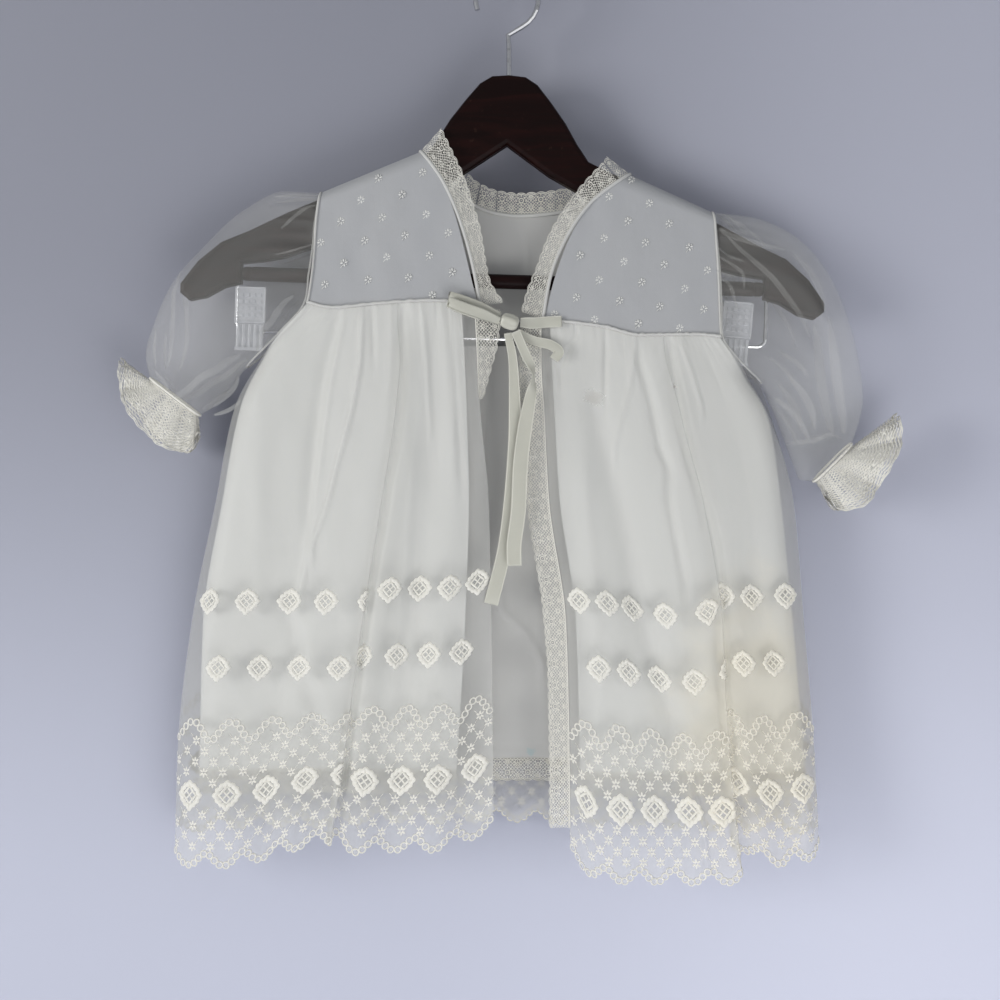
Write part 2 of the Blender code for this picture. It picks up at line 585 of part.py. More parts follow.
def sleeve_ring(section, bowing, hand, step):
    """Points round a flattened sleeve section, from its outer end over the front and back again."""
    out_x, out_z, in_x, in_z, half, bow = section
    ring = []
    for c in range(SLEEVE_COLUMNS):
        turn = 2 * math.pi * c / SLEEVE_COLUMNS
        w = 0.5 - 0.5 * math.cos(turn)
        front = -1 if turn < math.pi else 1
        share = smooth([b[0] for b in bowing], [b[1] for b in bowing], [w])[0]
        fold = SLEEVE_FOLD_DEPTH * math.sin(math.pi * step) * ring_depth(w)
        fold *= math.sin(2 * math.pi * SLEEVE_FOLDS * w)
        ring.append((
            out_x + (in_x - out_x) * w - hand * bow * share,
            front * (half * ring_depth(w) + fold),
            out_z + (in_z - out_z) * w,
        ))
    return ring


def tube_wall(name, outer, finish, thick=1.0):
    normals = grid_normals(outer, True)
    centre = outer.mean(axis=1, keepdims=True)
    if np.sum(normals * (outer - centre)) < 0:
        normals = -normals
    return wall_between(name, outer, outer - normals * thick, finish, ring=True)


def sleeves(organza, lace):
    for name, sections, bowing, frill, hand in (
        ("left", LEFT_SLEEVE, LEFT_BOW, LEFT_FRILL, -1), ("right", RIGHT_SLEEVE, RIGHT_BOW, RIGHT_FRILL, 1),
    ):
        steps = np.linspace(0, 1, len(sections))
        rings = np.array([sleeve_ring(s, bowing, hand, t) for s, t in zip(sections, steps)])
        tube_wall(f"sleeve_{name}", rings, organza)
        cuff_frill(f"cuff_frill_{name}", sections[-1], frill, lace)


def cuff_frill(name, cuff, frill, finish):
    """A lace frill that fans out from the gathered cuff, its waves deepest at the free edge."""
    out_x, out_z, in_x, in_z, half, _ = cuff
    along = np.array([in_x - out_x, in_z - out_z])
    away = np.array([along[1], -along[0]]) / np.linalg.norm(along)
    if away[1] > 0:
        away = -away
    shares = [f[0] for f in frill]
    rings = []
    for t in (0.0, 0.5, 1.0):
        ring = []
        for c in range(FRILL_COLUMNS):
            turn = 2 * math.pi * (c + 0.5) / FRILL_COLUMNS
            w = 0.5 - 0.5 * math.cos(turn)
            near = np.array([out_x, out_z]) + along * w + away * CUFF_GAP
            far = np.array([smooth(shares, [f[k] for f in frill], [w])[0] for k in (1, 2)])
            x, z = near + (far - near) * t
            wave = FRILL_WAVE_DEPTH * t * math.sin(FRILL_WAVES * turn)
            y = -math.sin(turn) * (half + 6.0 * t) + wave * (0.35 + 0.65 * abs(math.sin(turn)))
            ring.append((x, y, z))
        rings.append(ring)
    tube_wall(name, np.array(rings), finish)


def ribbons(finish):
    for name, rows in RIBBONS.items():
        finer = subdivided(rows, 2)
        path = np.array([r[:3] for r in finer])
        wide = np.array([r[3] for r in finer])
        along = np.gradient(path, axis=0)
        across = np.cross(along, (0.0, 1.0, 0.0))
        across /= np.linalg.norm(across, axis=1, keepdims=True)
        facing = np.cross(across, along)
        facing /= np.linalg.norm(facing, axis=1, keepdims=True)
        edge = across * wide[:, None] / 2
        outer = np.stack([path - edge, path + edge], axis=1)
        inner = outer - facing[:, None] * RIBBON_THICK
        wall_between(name, outer, inner, finish)
    bpy.ops.mesh.primitive_cube_add(size=1)
    knot = bpy.context.object
    knot.name = "ribbon_knot"
    knot.data.transform(Matrix.Diagonal((*[size * MM for size in KNOT_SIZE], 1)))
    knot.location = [place * MM for place in KNOT_PLACE]
    knot.rotation_euler = (0, KNOT_TURN, 0)
    rounded(knot, KNOT_ROUND * MM, 2)
    keep(knot, finish)


def rounded(obj, width, segments):
    bevel = obj.modifiers.new("edge", "BEVEL")
    bevel.width = width
    bevel.segments = segments
    bevel.limit_method = "ANGLE"


def tilted(x, drop, y=0.0):
    """World place, in metres, of a point of the hanger across and up from its apex."""
    c, s = math.cos(HANGER_TILT), math.sin(HANGER_TILT)
    return ((x * c + drop * s) * MM, y * MM, (APEX_Z - x * s + drop * c) * MM)


def wood(finish):
    outline = list(WOOD_HALF) + [(-x, z) for x, z in reversed(WOOD_HALF) if x > 0]
    mesh = bmesh.new()
    front = [mesh.verts.new((x * MM, -WOOD_THICK / 2 * MM, z * MM)) for x, z in outline]
    face = mesh.faces.new(front)
    grown = bmesh.ops.extrude_face_region(mesh, geom=[face])
    moved = [v for v in grown["geom"] if isinstance(v, bmesh.types.BMVert)]
    bmesh.ops.translate(mesh, verts=moved, vec=(0, WOOD_THICK * MM, 0))
    corners = [
        e for e in mesh.edges
        if abs(e.verts[0].co.y - e.verts[1].co.y) < 1e-6
    ]
    bmesh.ops.bevel(mesh, geom=corners, offset=WOOD_BEVEL * MM, segments=2, profile=0.5, affect="EDGES")
    bmesh.ops.recalc_face_normals(mesh, faces=mesh.faces[:])
    data = bpy.data.meshes.new("hanger_wood")
    mesh.to_mesh(data)
    mesh.free()
    obj = bpy.data.objects.new("hanger_wood", data)
    bpy.context.scene.collection.objects.link(obj)
    obj.location = (0, 0, APEX_Z * MM)
    obj.rotation_euler = (0, HANGER_TILT, 0)
    keep(obj, finish)


def wire(name, points, radius, finish, resolution=2):
    curve = bpy.data.curves.new(name, "CURVE")
    curve.dimensions = "3D"
    curve.bevel_depth = radius * MM
    curve.bevel_resolution = resolution
    curve.use_fill_caps = True
    spline = curve.splines.new("POLY")
    spline.points.add(len(points) - 1)
    for point, place in zip(spline.points, points):
        point.co = (*place, 1)
    obj = bpy.data.objects.new(name, curve)
    bpy.context.scene.collection.objects.link(obj)
    return keep(obj, finish)


def hanger(dark_wood, chrome, clear):
    wood(dark_wood)
    bar = [tilted(-BAR_HALF_LENGTH, -BAR_DROP), tilted(BAR_HALF_LENGTH, -BAR_DROP)]
    wire("hanger_bar", bar, BAR_RADIUS, dark_wood, 3)
    rod = [tilted(-ROD_HALF_WIDTH, -ROD_TOP_DROP)]
    rod += [
        tilted(-ROD_HALF_WIDTH + ROD_BEND * (1 - math.cos(a)), -ROD_DROP + ROD_BEND * (1 - math.sin(a)))
        for a in np.linspace(0, math.pi / 2, 4)
    ]
    rod += [
        tilted(ROD_HALF_WIDTH - ROD_BEND * (1 - math.sin(a)), -ROD_DROP + ROD_BEND * (1 - math.cos(a)))
        for a in np.linspace(0, math.pi / 2, 4)
    ]
    rod.append(tilted(ROD_HALF_WIDTH, -ROD_TOP_DROP))
    wire("hanger_rod", rod, ROD_RADIUS, chrome)
    radius = HOOK_INNER_RADIUS + HOOK_WIRE_RADIUS
    middle = -HOOK_INNER_RADIUS
    foot = tilted(0, WOOD_APEX + SEAM_GAP)
    hook = [
        foot, (foot[0], 0, (middle - radius - HOOK_NECK) * MM),
        (HOOK_LEAN * MM, 0, (middle - radius - HOOK_NECK / 4) * MM),
    ]
    hook += [
        (radius * math.cos(a) * MM, 0, (middle + radius * math.sin(a)) * MM)
        for a in np.linspace(HOOK_START, HOOK_END, 20)
    ]
    wire("hanger_hook", hook, HOOK_WIRE_RADIUS, chrome)
    for name, across, turned in CLIPS:
        clip(name, across, turned, clear)


def clip(name, across, turned, finish):
    """A flat sprung clip that hangs in front of the rod."""
    top = -ROD_DROP + CLIP_ABOVE_ROD
    waist = CLIP_HALF_WIDTH - CLIP_WAIST
    outline = (
        (-CLIP_HALF_WIDTH, 0), (CLIP_HALF_WIDTH, 0), (CLIP_HALF_WIDTH, CLIP_PLATE), (waist, CLIP_FOOT),
        (CLIP_HALF_WIDTH, CLIP_LENGTH), (-CLIP_HALF_WIDTH, CLIP_LENGTH), (-waist, CLIP_FOOT),
        (-CLIP_HALF_WIDTH, CLIP_PLATE),
    )
    c, s = math.cos(math.radians(turned)), math.sin(math.radians(turned))
    mesh = bmesh.new()
    corners = [
        mesh.verts.new(tilted(across + x * c + z * s, top - x * s + z * c, CLIP_FRONT)) for x, z in outline
    ]
    face = mesh.faces.new(corners)
    grown = bmesh.ops.extrude_face_region(mesh, geom=[face])
    moved = [v for v in grown["geom"] if isinstance(v, bmesh.types.BMVert)]
    bmesh.ops.translate(mesh, verts=moved, vec=(0, CLIP_THICK * MM, 0))
    bmesh.ops.recalc_face_normals(mesh, faces=mesh.faces[:])
    data = bpy.data.meshes.new(name)
    mesh.to_mesh(data)
    mesh.free()
    obj = bpy.data.objects.new(name, data)
    bpy.context.scene.collection.objects.link(obj)
    rounded(obj, CLIP_BEVEL * MM, 1)
    keep(obj, finish)


def build():
    clear_scene()
    group = bpy.data.collections.new("christening_coat")
    bpy.context.scene.collection.children.link(group)
    organza = material("organza", (0.86, 0.85, 0.76), 0.6)
    plain = material("lining cloth", (0.88, 0.87, 0.80), 0.7)
    lace = material("lace", (0.84, 0.82, 0.72), 0.7)
    satin = material("satin", (0.90, 0.88, 0.78), 0.3)
    dark_wood = material("dark wood", (0.045, 0.014, 0.010), 0.35)
    chrome = material("chrome", (0.75, 0.75, 0.75), 0.2, 1.0)
    clear = material("clear plastic", (0.80, 0.80, 0.80), 0.15)
    edges = skirts(organza)
    front_yoke("yoke_front_left", LEFT_YOKE, LEFT_SEAM, organza)
    front_yoke("yoke_front_right", RIGHT_YOKE, RIGHT_SEAM, organza)
    back_yoke(organza)
    linings(plain, lace)
    sleeves(organza, lace)
    neck_laces(lace)
    front_laces(edges, lace)
    seam_bands(plain)
    ribbons(satin)
    hanger(dark_wood, chrome, clear)


build()
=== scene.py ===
"""Dresses the christening coat: sheer organza, linings, lace, sleeves, ribbon and hanger.

Left and right are the viewer's, looking along +Y at the front. Tables are in millimetres, in the
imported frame, whose origin is the inside top of the hanger's hook.
"""
import math

import bmesh
import bpy
import numpy as np
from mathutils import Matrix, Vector


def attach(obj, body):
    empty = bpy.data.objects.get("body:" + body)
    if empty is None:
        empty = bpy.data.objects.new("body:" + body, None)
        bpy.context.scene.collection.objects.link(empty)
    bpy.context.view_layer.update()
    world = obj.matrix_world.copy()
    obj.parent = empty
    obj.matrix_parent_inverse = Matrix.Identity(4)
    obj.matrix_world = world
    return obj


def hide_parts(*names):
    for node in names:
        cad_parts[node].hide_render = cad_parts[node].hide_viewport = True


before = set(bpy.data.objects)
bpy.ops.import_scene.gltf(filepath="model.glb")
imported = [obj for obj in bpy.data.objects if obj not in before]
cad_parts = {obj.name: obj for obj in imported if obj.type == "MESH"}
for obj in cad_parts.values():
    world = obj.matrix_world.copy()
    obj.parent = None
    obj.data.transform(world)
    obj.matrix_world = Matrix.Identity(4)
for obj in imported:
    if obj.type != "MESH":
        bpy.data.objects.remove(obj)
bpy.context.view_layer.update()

bl_info = {
    "name": "Christening coat on a hanger",
    "version": (1, 0, 0),
    "blender": (4, 5, 0),
    "location": "3D View > Sidebar > Coat",
    "description": "Dresses a sheer christening coat with its linings, lace, ribbon and hanger",
    "category": "Object",
}

MM = 0.001
PITCH = 26.5
QUARTERS = 4
SCALLOP_RISE = 8.0
RING_RISE = 12.0
RING_SPACING = 4.75
BORDER_TOP = 181.0
SEAM_GAP = 0.3
SEAM_PLANE = 0.16
SIDE_ROUND_COLUMNS = 3.0
YOKE_DEPTH = 11.0
SHOULDER_ROLL = 9.0
RINGS = 7
MEDALLION_ROWS = ((48.0, 2, 1.0), (130.0, 0, 0.86), (173.0, 2, 0.86))
HANGER_TILT = math.radians(1.75)
APEX_Z = -116.0

# Heights of the section rows below, in z; the first is the seam itself
LEFT_HEIGHTS = (-222, -250, -290, -350, -430, -510, -580)
RIGHT_HEIGHTS = (-238, -258, -295, -350, -430, -510, -590)
BACK_HEIGHTS = (-232, -262, -290, -350, -430, -510, -570)

# Fold lines: quarter pitches from the panel's left edge; x at each height; y at each height
LEFT_FOLDS = (
    (0, (-131, -157, -180, -192, -208, -217, -219), (-12, -12, -12, -13, -14, -15, -16)),
    (5, (-118, -137, -153, -163, -175, -184, -187), (-12.5, -15, -17, -18, -19, -20, -21)),
    (9, (-109, -117, -124, -131, -144, -154, -160), (-12, -12.6, -13.2, -14, -15, -17, -19)),
    (13, (-94, -97, -102, -113, -122, -131, -139), (-12.5, -16, -18, -20, -21.5, -23, -24)),
    (16, (-72, -72, -75, -84, -96.6, -107.5, -118), (-12.8, -17, -20, -22.5, -24, -25, -26)),
    (17, (-70.5, -70, -72.5, -81.5, -94, -105, -115), (-12, -14, -16, -18, -19.5, -20.5, -21.5)),
    (21, (-60, -58, -59, -66, -78, -88, -98), (-12.5, -15.5, -18, -20, -22, -23, -24.5)),
    (25, (-49, -47, -47, -51, -60, -67, -74), (-12, -13, -14.5, -16, -17.5, -18.5, -19.5)),
    (29, (-39, -37, -35, -35, -41, -46, -50), (-12.5, -15.5, -18, -20, -22, -23.5, -25)),
    (33, (-29, -27, -24.5, -21, -22, -24, -26), (-12, -13, -14, -15.5, -17, -18, -19)),
    (36, (-21, -19.5, -17.5, -12, -10.2, -9.2, -8.6), (-12, -13, -14, -15, -16, -17, -18)),
)
RIGHT_FOLDS = (
    (0, (22, 22, 24, 27, 38, 40, 41), (-12, -13, -14, -15, -16, -17, -17)),
    (4, (37, 38, 41, 48, 61, 65, 67), (-12.5, -15.5, -18, -19, -20.5, -21.5, -22)),
    (10, (60, 60, 62, 74, 91, 104, 107), (-12, -13, -14.5, -16, -17.5, -18.5, -19.5)),
    (14, (81, 82, 87, 99, 114, 123, 129), (-12.5, -16, -19, -21, -22.5, -23.5, -24.5)),
    (18, (101, 102, 109, 123, 135.5, 139.5, 147.5), (-12.8, -17, -20, -22.5, -24, -25, -26)),
    (19, (102.5, 104, 111.5, 126, 138.5, 142.5, 150.5), (-12, -14, -16, -18, -19.5, -20.5, -21.5)),
    (23, (113, 117, 127, 141, 151, 156, 166), (-12.5, -16, -18, -20, -21.5, -23, -24)),
    (27, (125, 132, 145, 160, 169, 177, 186), (-12, -13, -14, -15.5, -17, -18, -19)),
    (32, (140, 151, 173, 189, 196, 202.5, 206), (-12, -12, -12, -13, -14, -15, -16)),
)
BACK_FOLDS = (
    (0, (-131, -163, -180, -192, -208, -217, -219), (12, 12, 12, 13, 14, 15, 16)),
    (7, (-102, -124, -137, -147, -158, -167, -172), (12.5, 15, 17, 19, 21, 22, 23)),
    (13, (-78, -91, -98, -108, -116, -122, -127), (12, 12.8, 13.5, 14.5, 15.5, 16.5, 17.5)),
    (20, (-49, -54, -59, -66, -72, -75, -79), (12.5, 16, 18, 20, 22, 24, 25)),
    (26, (-24, -27, -30, -33, -37, -40, -42), (12, 12.8, 13.5, 14.5, 15.5, 16.5, 17.5)),
    (32, (2, 2, 1, 0, -1, -2, -3), (12.5, 15, 17, 19, 20, 21.5, 22.5)),
    (39, (31, 34, 37, 40, 42, 44, 46), (12, 12.8, 13.5, 14.5, 15.5, 16.5, 17.5)),
    (45, (56, 62, 68, 76, 81, 84, 87), (12.5, 16, 18.5, 20.5, 22.5, 24, 25.5)),
    (51, (82, 92, 103, 114, 120, 124, 127), (12, 12.8, 13.5, 14.5, 15.5, 16.5, 17.5)),
    (58, (113, 128, 143, 157, 164, 169, 172), (12.5, 15, 17, 19, 21, 22, 23)),
    (64, (140, 161, 173, 189, 196, 202.5, 206), (12, 12, 12, 13, 14, 15, 16)),
)
LEFT_HEM = ((0, -589), (6, -588), (12, -579), (16, -572), (17, -573), (22, -579), (29, -577), (36, -566))
RIGHT_HEM = ((0, -584), (3, -597), (10, -599), (18, -597), (19, -577), (25, -587), (32, -582))
LEFT_LEVEL = ((0, -588), (12, -588), (16, -587.5), (17.4, -581), (22, -580), (29, -579), (36, -573))
RIGHT_LEVEL = ((0, -587), (4, -588), (8, -592), (12, -597), (17, -594), (19, -584), (25, -585), (32, -584))
BACK_LEVEL = ((0, -573), (64, -575))
BACK_HEM = ((0, -574), (16, -570), (32, -568), (48, -572), (64, -576))
LEFT_SEAM = ((-131, -221), (-114, -224.5), (-85, -222), (-50, -220), (-17, -223), (-2, -226))
RIGHT_SEAM = ((9, -230), (23, -232), (63, -237), (87, -242.5), (123, -242), (140, -243.5))
BACK_SEAM = ((-131, -222), (0, -230), (140, -243.5))
LEFT_UNDERARM_Z = -262.5
RIGHT_UNDERARM_Z = -273.0

# Creases given one by one: depth outward (negative for a valley), half width, then x and z down its line
LEFT_CREASES = (
    (-2.4, 3.4, (
        (-68, -222), (-67.5, -260), (-69.5, -288), (-73, -316), (-77.5, -337), (-81.5, -365), (-87, -394),
        (-91, -419), (-96, -455), (-102, -492), (-104, -514),
    )),
    (-1.6, 5.0, ((-109.6, -232.8), (-118.1, -259.9), (-122.8, -288.3), (-126.7, -316), (-129.4, -358.2))),
    (1.3, 2.6, ((-106.9, -231.5), (-115.5, -273.7), (-120.8, -316), (-129.4, -386.6), (-134, -405.1))),
    (1.5, 1.8, ((-94.4, -231.5), (-95.7, -259.9), (-101, -290.9), (-109.6, -323.2), (-116.8, -351.6), (-126.7, -379.3))),
    (-1.3, 6.0, ((-141.9, -426.2), (-122.8, -490.9), (-118, -520))),
    (0.9, 7.0, ((-161.7, -290), (-161.7, -350), (-161.7, -410))),
    (-1.2, 1.6, ((-88, -224), (-87.6, -235), (-87, -246))),
    (0.9, 2.0, ((-55, -226), (-52, -262), (-50, -300))),
    (-1.0, 2.6, ((-38, -226), (-34, -270), (-30, -330))),
    (0.7, 4.0, ((-62, -330), (-66, -400), (-74, -470))),
)
RIGHT_CREASES = (
    (-2.2, 3.2, (
        (106.5, -250), (110.5, -274), (115, -302), (119, -325), (126, -344), (133.5, -369), (137, -387),
        (139, -408), (140, -435), (138.5, -466), (143, -485), (144, -509),
    )),
    (-1.2, 1.8, ((44.9, -241.4), (35, -263.8))),
    (-1.4, 1.7, ((64.7, -241.4), (64, -272.4))),
    (1.0, 1.6, ((83.8, -246), (79.9, -277), (72.6, -302.1), (70, -313.3))),
    (-1.8, 3.2, ((87.1, -259.9), (93.7, -285), (99.7, -316), (106.3, -330.5))),
    (1.1, 1.6, ((113.5, -248.7), (120.8, -269.8), (126.1, -288.3))),
    (-1.4, 3.0, ((104.9, -348.3), (109.6, -372.7), (116.2, -405.1))),
    (-1.9, 8.0, ((57.4, -288.3), (73.9, -358.2), (85.1, -407.7), (96.4, -453.9), (110.2, -500.1), (117.5, -527.8))),
    (1.6, 2.0, ((120.8, -537.1), (125.4, -555.6), (127.4, -574), (130, -593.8))),
    (0.9, 5.0, ((50, -330), (56, -400), (60, -470))),
)
BACK_CREASES = (
    (-1.6, 4.0, ((-58, -240), (-66, -300), (-74, -380))),
    (1.2, 2.4, ((-12, -236), (-14, -290), (-18, -350))),
    (1.4, 2.2, ((48, -240), (56, -300), (64, -380))),
    (-1.4, 5.0, ((104, -250), (120, -330), (132, -430))),
    (1.1, 3.0, ((-110, -236), (-128, -300), (-140, -380))),
    (-1.0, 6.0, ((20, -400), (26, -480), (30, -540))),
)

# Folds that lap: the column of the layer's edge, the column where it turns back, how far each moves
LEFT_LAP = (16.0, 17.0, 3.2)
RIGHT_LAP = (18.0, 19.0, 3.2)

# Yoke rows: share of the way down, armhole x and z, neck x and z
LEFT_YOKE = (
    (0.0, -122, -147, -57, -120), (0.25, -124.5, -166, -42, -141), (0.5, -126, -184, -32, -163),
    (0.75, -128.5, -203, -23.5, -191), (1.0, -131, -221, -17, -223),
)
RIGHT_YOKE = (
    (0.0, 135, -160, 81, -135), (0.25, 136.5, -181, 53, -157), (0.5, 138, -201, 37, -181),
    (0.75, 139, -222, 28, -204), (1.0, 140, -243.5, 23, -232),
)
BACK_YOKE = (
    (-122, -147, -131, 1), (-106, -140.6, -116, 1), (-88, -133.5, -98, 1), (-70, -126.3, -80, 1),
    (-57, -120, -66, 1), (-54, -123, -62, 0), (-38, -140, -41, 0), (-25, -151, -26, 0),
    (-8, -158, -9, 0), (8, -160, 8, 0), (25, -159, 26, 0), (43, -156, 45, 0), (60, -147, 63, 0),
    (78, -137.2, 84, 0), (81, -135, 88, 1), (95, -141.8, 101, 1), (108, -147.8, 114, 1),
    (122, -154, 127, 1), (135, -160, 140, 1),
)

# How the armhole bows toward the body: share along the sleeve's section, share of the bow
LEFT_BOW = ((0, 0), (0.165, 0.25), (0.32, 0.53), (0.487, 0.78), (0.643, 1), (0.81, 0.62), (1, 0))
RIGHT_BOW = ((0, 0), (0.185, 0.25), (0.363, 0.47), (0.55, 0.73), (0.741, 1), (0.87, 0.64), (1, 0))

# Sleeve sections: outer x and z, inner x and z, half depth, bow toward the body
LEFT_SLEEVE = (
    (-122.6, -147.0, -171.6, -262.0, 12.5, 22.0), (-146.5, -146.0, -174.5, -264.5, 17.0, 8.0),
    (-172.9, -158.5, -177.5, -268.0, 20.0, 2.0), (-199.3, -183.0, -181.0, -272.4, 22.0, 0.0),
    (-219.1, -205.7, -185.0, -278.4, 22.0, 0.0), (-231.0, -230.8, -189.5, -283.6, 20.0, 0.0),
    (-237.6, -253.9, -195.5, -288.9, 15.0, 0.0), (-235.0, -270.4, -203.3, -294.2, 7.0, 0.0),
)
RIGHT_SLEEVE = (
    (136.0, -160.2, 167.6, -272.6, 12.5, 18.6), (161.7, -163.5, 172.0, -281.0, 17.0, 8.0),
    (186.8, -174.1, 176.5, -291.6, 20.0, 2.0), (207.9, -195.8, 181.0, -303.4, 22.0, 0.0),
    (221.5, -223.5, 186.0, -316.6, 22.0, 0.0), (231.0, -257.2, 190.5, -328.5, 20.0, 0.0),
    (234.3, -283.6, 194.0, -336.4, 15.0, 0.0), (226.5, -314.9, 203.3, -337.4, 7.0, 0.0),
)
RING_POWER = 2.6

# Where a sleeve's cloth lies double, seen from the front: width of the fold, then x and z down its edge
LEFT_SLEEVE_FOLDS = (
    (1.8, ((-123, -149.7), (-138.3, -149), (-152.5, -151))),
    (2.4, ((-122.4, -156.1), (-130, -157.3), (-137.1, -162), (-143, -167.9), (-147.2, -172.6))),
    (1.6, ((-125.4, -158.9), (-126.1, -166.8), (-127.6, -177.4))),
    (4.2, (
        (-139.5, -215.7), (-145.9, -219.6), (-151.2, -226.2),
        (-155.4, -232.8), (-160.1, -238.6), (-164.3, -252.6),
    )),
    (4.6, (
        (-173.6, -254.5), (-180.8, -257.2), (-189, -263.2),
        (-198.4, -267.8), (-209.2, -276.3), (-217.2, -281), (-221.8, -286.3),
    )),
    (3.6, ((-177.7, -268.1), (-181.9, -275.1), (-191.4, -283.4), (-200, -289.6))),
    (3.2, (
        (-214.3, -199.8), (-215.5, -209.1), (-217.8, -213.7),
        (-217.2, -232.8), (-218.5, -250.4), (-220.4, -262.2),
    )),
    (2.4, ((-230.3, -265.8), (-224.4, -273.7), (-221.8, -279.7))),
    (1.4, ((-126.7, -182.7), (-138.3, -186.6), (-150.1, -190.3))),
    (2.8, ((-176.2, -283.6), (-184.1, -288.9), (-193.4, -292.9))),
    (2, ((-229, -237.4), (-230.3, -250.6), (-229, -262.5))),
)
RIGHT_SLEEVE_FOLDS = (
    (2.2, ((138.6, -160.9), (146.3, -166.2), (153, -174.5), (155.7, -177.2))),
    (2, ((141.9, -161.5), (150.3, -168.5), (159.7, -177.2), (167.6, -184.6))),
    (3.6, ((137.9, -172.5), (141.9, -177.2), (154.3, -182), (167.6, -186), (181.2, -187.9))),
    (3.6, (
        (143.6, -178.6), (151.6, -187.9), (162.4, -198.8), (171.6, -208.2),
        (178.6, -217.6), (185.3, -226.9), (190, -234.5), (194.7, -246),
    )),
    (1.8, ((137.3, -185.3), (144.9, -191.9), (154.3, -195.2))),
    (2.2, ((136.6, -190.6), (147.6, -198.5), (152.3, -203.5), (153.6, -212.2))),
    (1.8, ((136, -200.2), (143.6, -204.2), (149, -204.8))),
    (2.2, ((137.9, -204.8), (143.6, -209.6), (146.3, -216.3), (149, -225.6))),
    (4, ((185.3, -190.6), (193.4, -200.2), (198.7, -209.6), (202.6, -219), (205.3, -228.2))),
    (6.5, ((206.6, -232.2), (207.9, -252.6), (209.6, -272.9), (213.6, -292.9), (217.6, -306.5))),
    (4.6, ((181.2, -270.2), (189.4, -282.3), (194.7, -292.9), (198, -303.8))),
    (3.4, ((174.2, -283.6), (183.9, -294.2), (190.7, -303.8), (194.7, -312))),
    (2.6, ((186.8, -312), (197.3, -313.3), (207.9, -308.7), (217.1, -310))),
    (3.2, ((175.6, -253.9), (186.8, -263.2), (193.4, -270.2))),
)

# Cuff frill: share along the cuff from its outer end, then the lace edge's x and z
LEFT_FRILL = (
    (0.0, -255.0, -256.0), (0.15, -253.5, -275.0), (0.32, -246.0, -293.0), (0.5, -235.5, -306.0),
    (0.68, -223.0, -315.5), (0.84, -211.5, -318.0), (1.0, -202.5, -305.0),
)
RIGHT_FRILL = (
    (0.0, 257.5, -292.5), (0.15, 258.5, -309.0), (0.32, 251.5, -324.5), (0.5, 243.0, -340.0),
    (0.68, 232.0, -353.5), (0.84, 218.5, -356.5), (1.0, 209.0, -344.0),
)
FRILL_WAVES = 9
FRILL_WAVE_DEPTH = 2.2
CUFF_GAP = 0.35

# Front neck lace: share of the way down the yoke's neck edge, then the free edge's x and z
LEFT_NECK_LACE = (
    (0.0, -43.4, -105.4), (0.02, -43, -106.8), (0.05, -41.5, -110.5), (0.12, -38.2, -117.6),
    (0.35, -28.5, -138), (0.5, -21.5, -159), (0.6, -18, -171), (0.75, -14.5, -191), (0.88, -11.5, -206),
    (1.0, -2.5, -221),
)
RIGHT_NECK_LACE = (
    (0.0, 66, -124), (0.02, 65.4, -125.5), (0.05, 64, -128), (0.12, 60, -132.5), (0.25, 47.5, -146),
    (0.5, 28, -175.5), (0.75, 18.5, -200), (0.88, 13, -214), (1.0, 9.5, -227),
)
BACK_NECK_LACE = (
    (-52.5, -123.8, -41, -113.5), (-46, -131.2, -36, -120.5), (-37.4, -139.4, -30, -127.5),
    (-24.8, -150.4, -21, -136.6), (-8, -157.4, -7, -143.2), (8, -159.4, 8, -145), (25, -158.4, 25, -144),
    (42.6, -155.4, 42, -141), (59.4, -146.4, 55, -134), (72, -139.6, 64, -129.5),
)

# Lace down the front edges: z and width
LEFT_FRONT_LACE = ((-225.5, 16.5), (-245, 14), (-262, 9), (-284, 2))
RIGHT_FRONT_LACE = (
    (-234, 12.5), (-262, 14), (-290, 16.5), (-323, 13), (-355, 14), (-390, 14), (-420, 14), (-465, 12.5),
    (-512, 12.5), (-562, 13),
)
EDGE_GAP = 0.5

# Lining edges at each height: left x, right x
LINING_HEIGHTS = (-224, -256, -290, -350, -430, -526)
LEFT_LINING = ((-129, -30), (-158, -28), (-175.5, -26.5), (-187.5, -25), (-200.5, -27.5), (-203, -33))
RIGHT_LINING_HEIGHTS = (-246, -268, -300, -350, -430, -528)
RIGHT_LINING = ((28, 138), (29, 154), (31, 173), (34, 180.5), (45, 188.5), (48, 197))
BACK_LINING_HEIGHTS = (-247, -268, -300, -350, -430, -521)
BACK_LINING = ((-150, 136), (-165, 154), (-176, 171), (-187, 180), (-200, 188), (-203, 197))
LINING_DEPTH = 8.6
LINING_ROUND = 13.0
LINING_LACE_DROP = 15.5

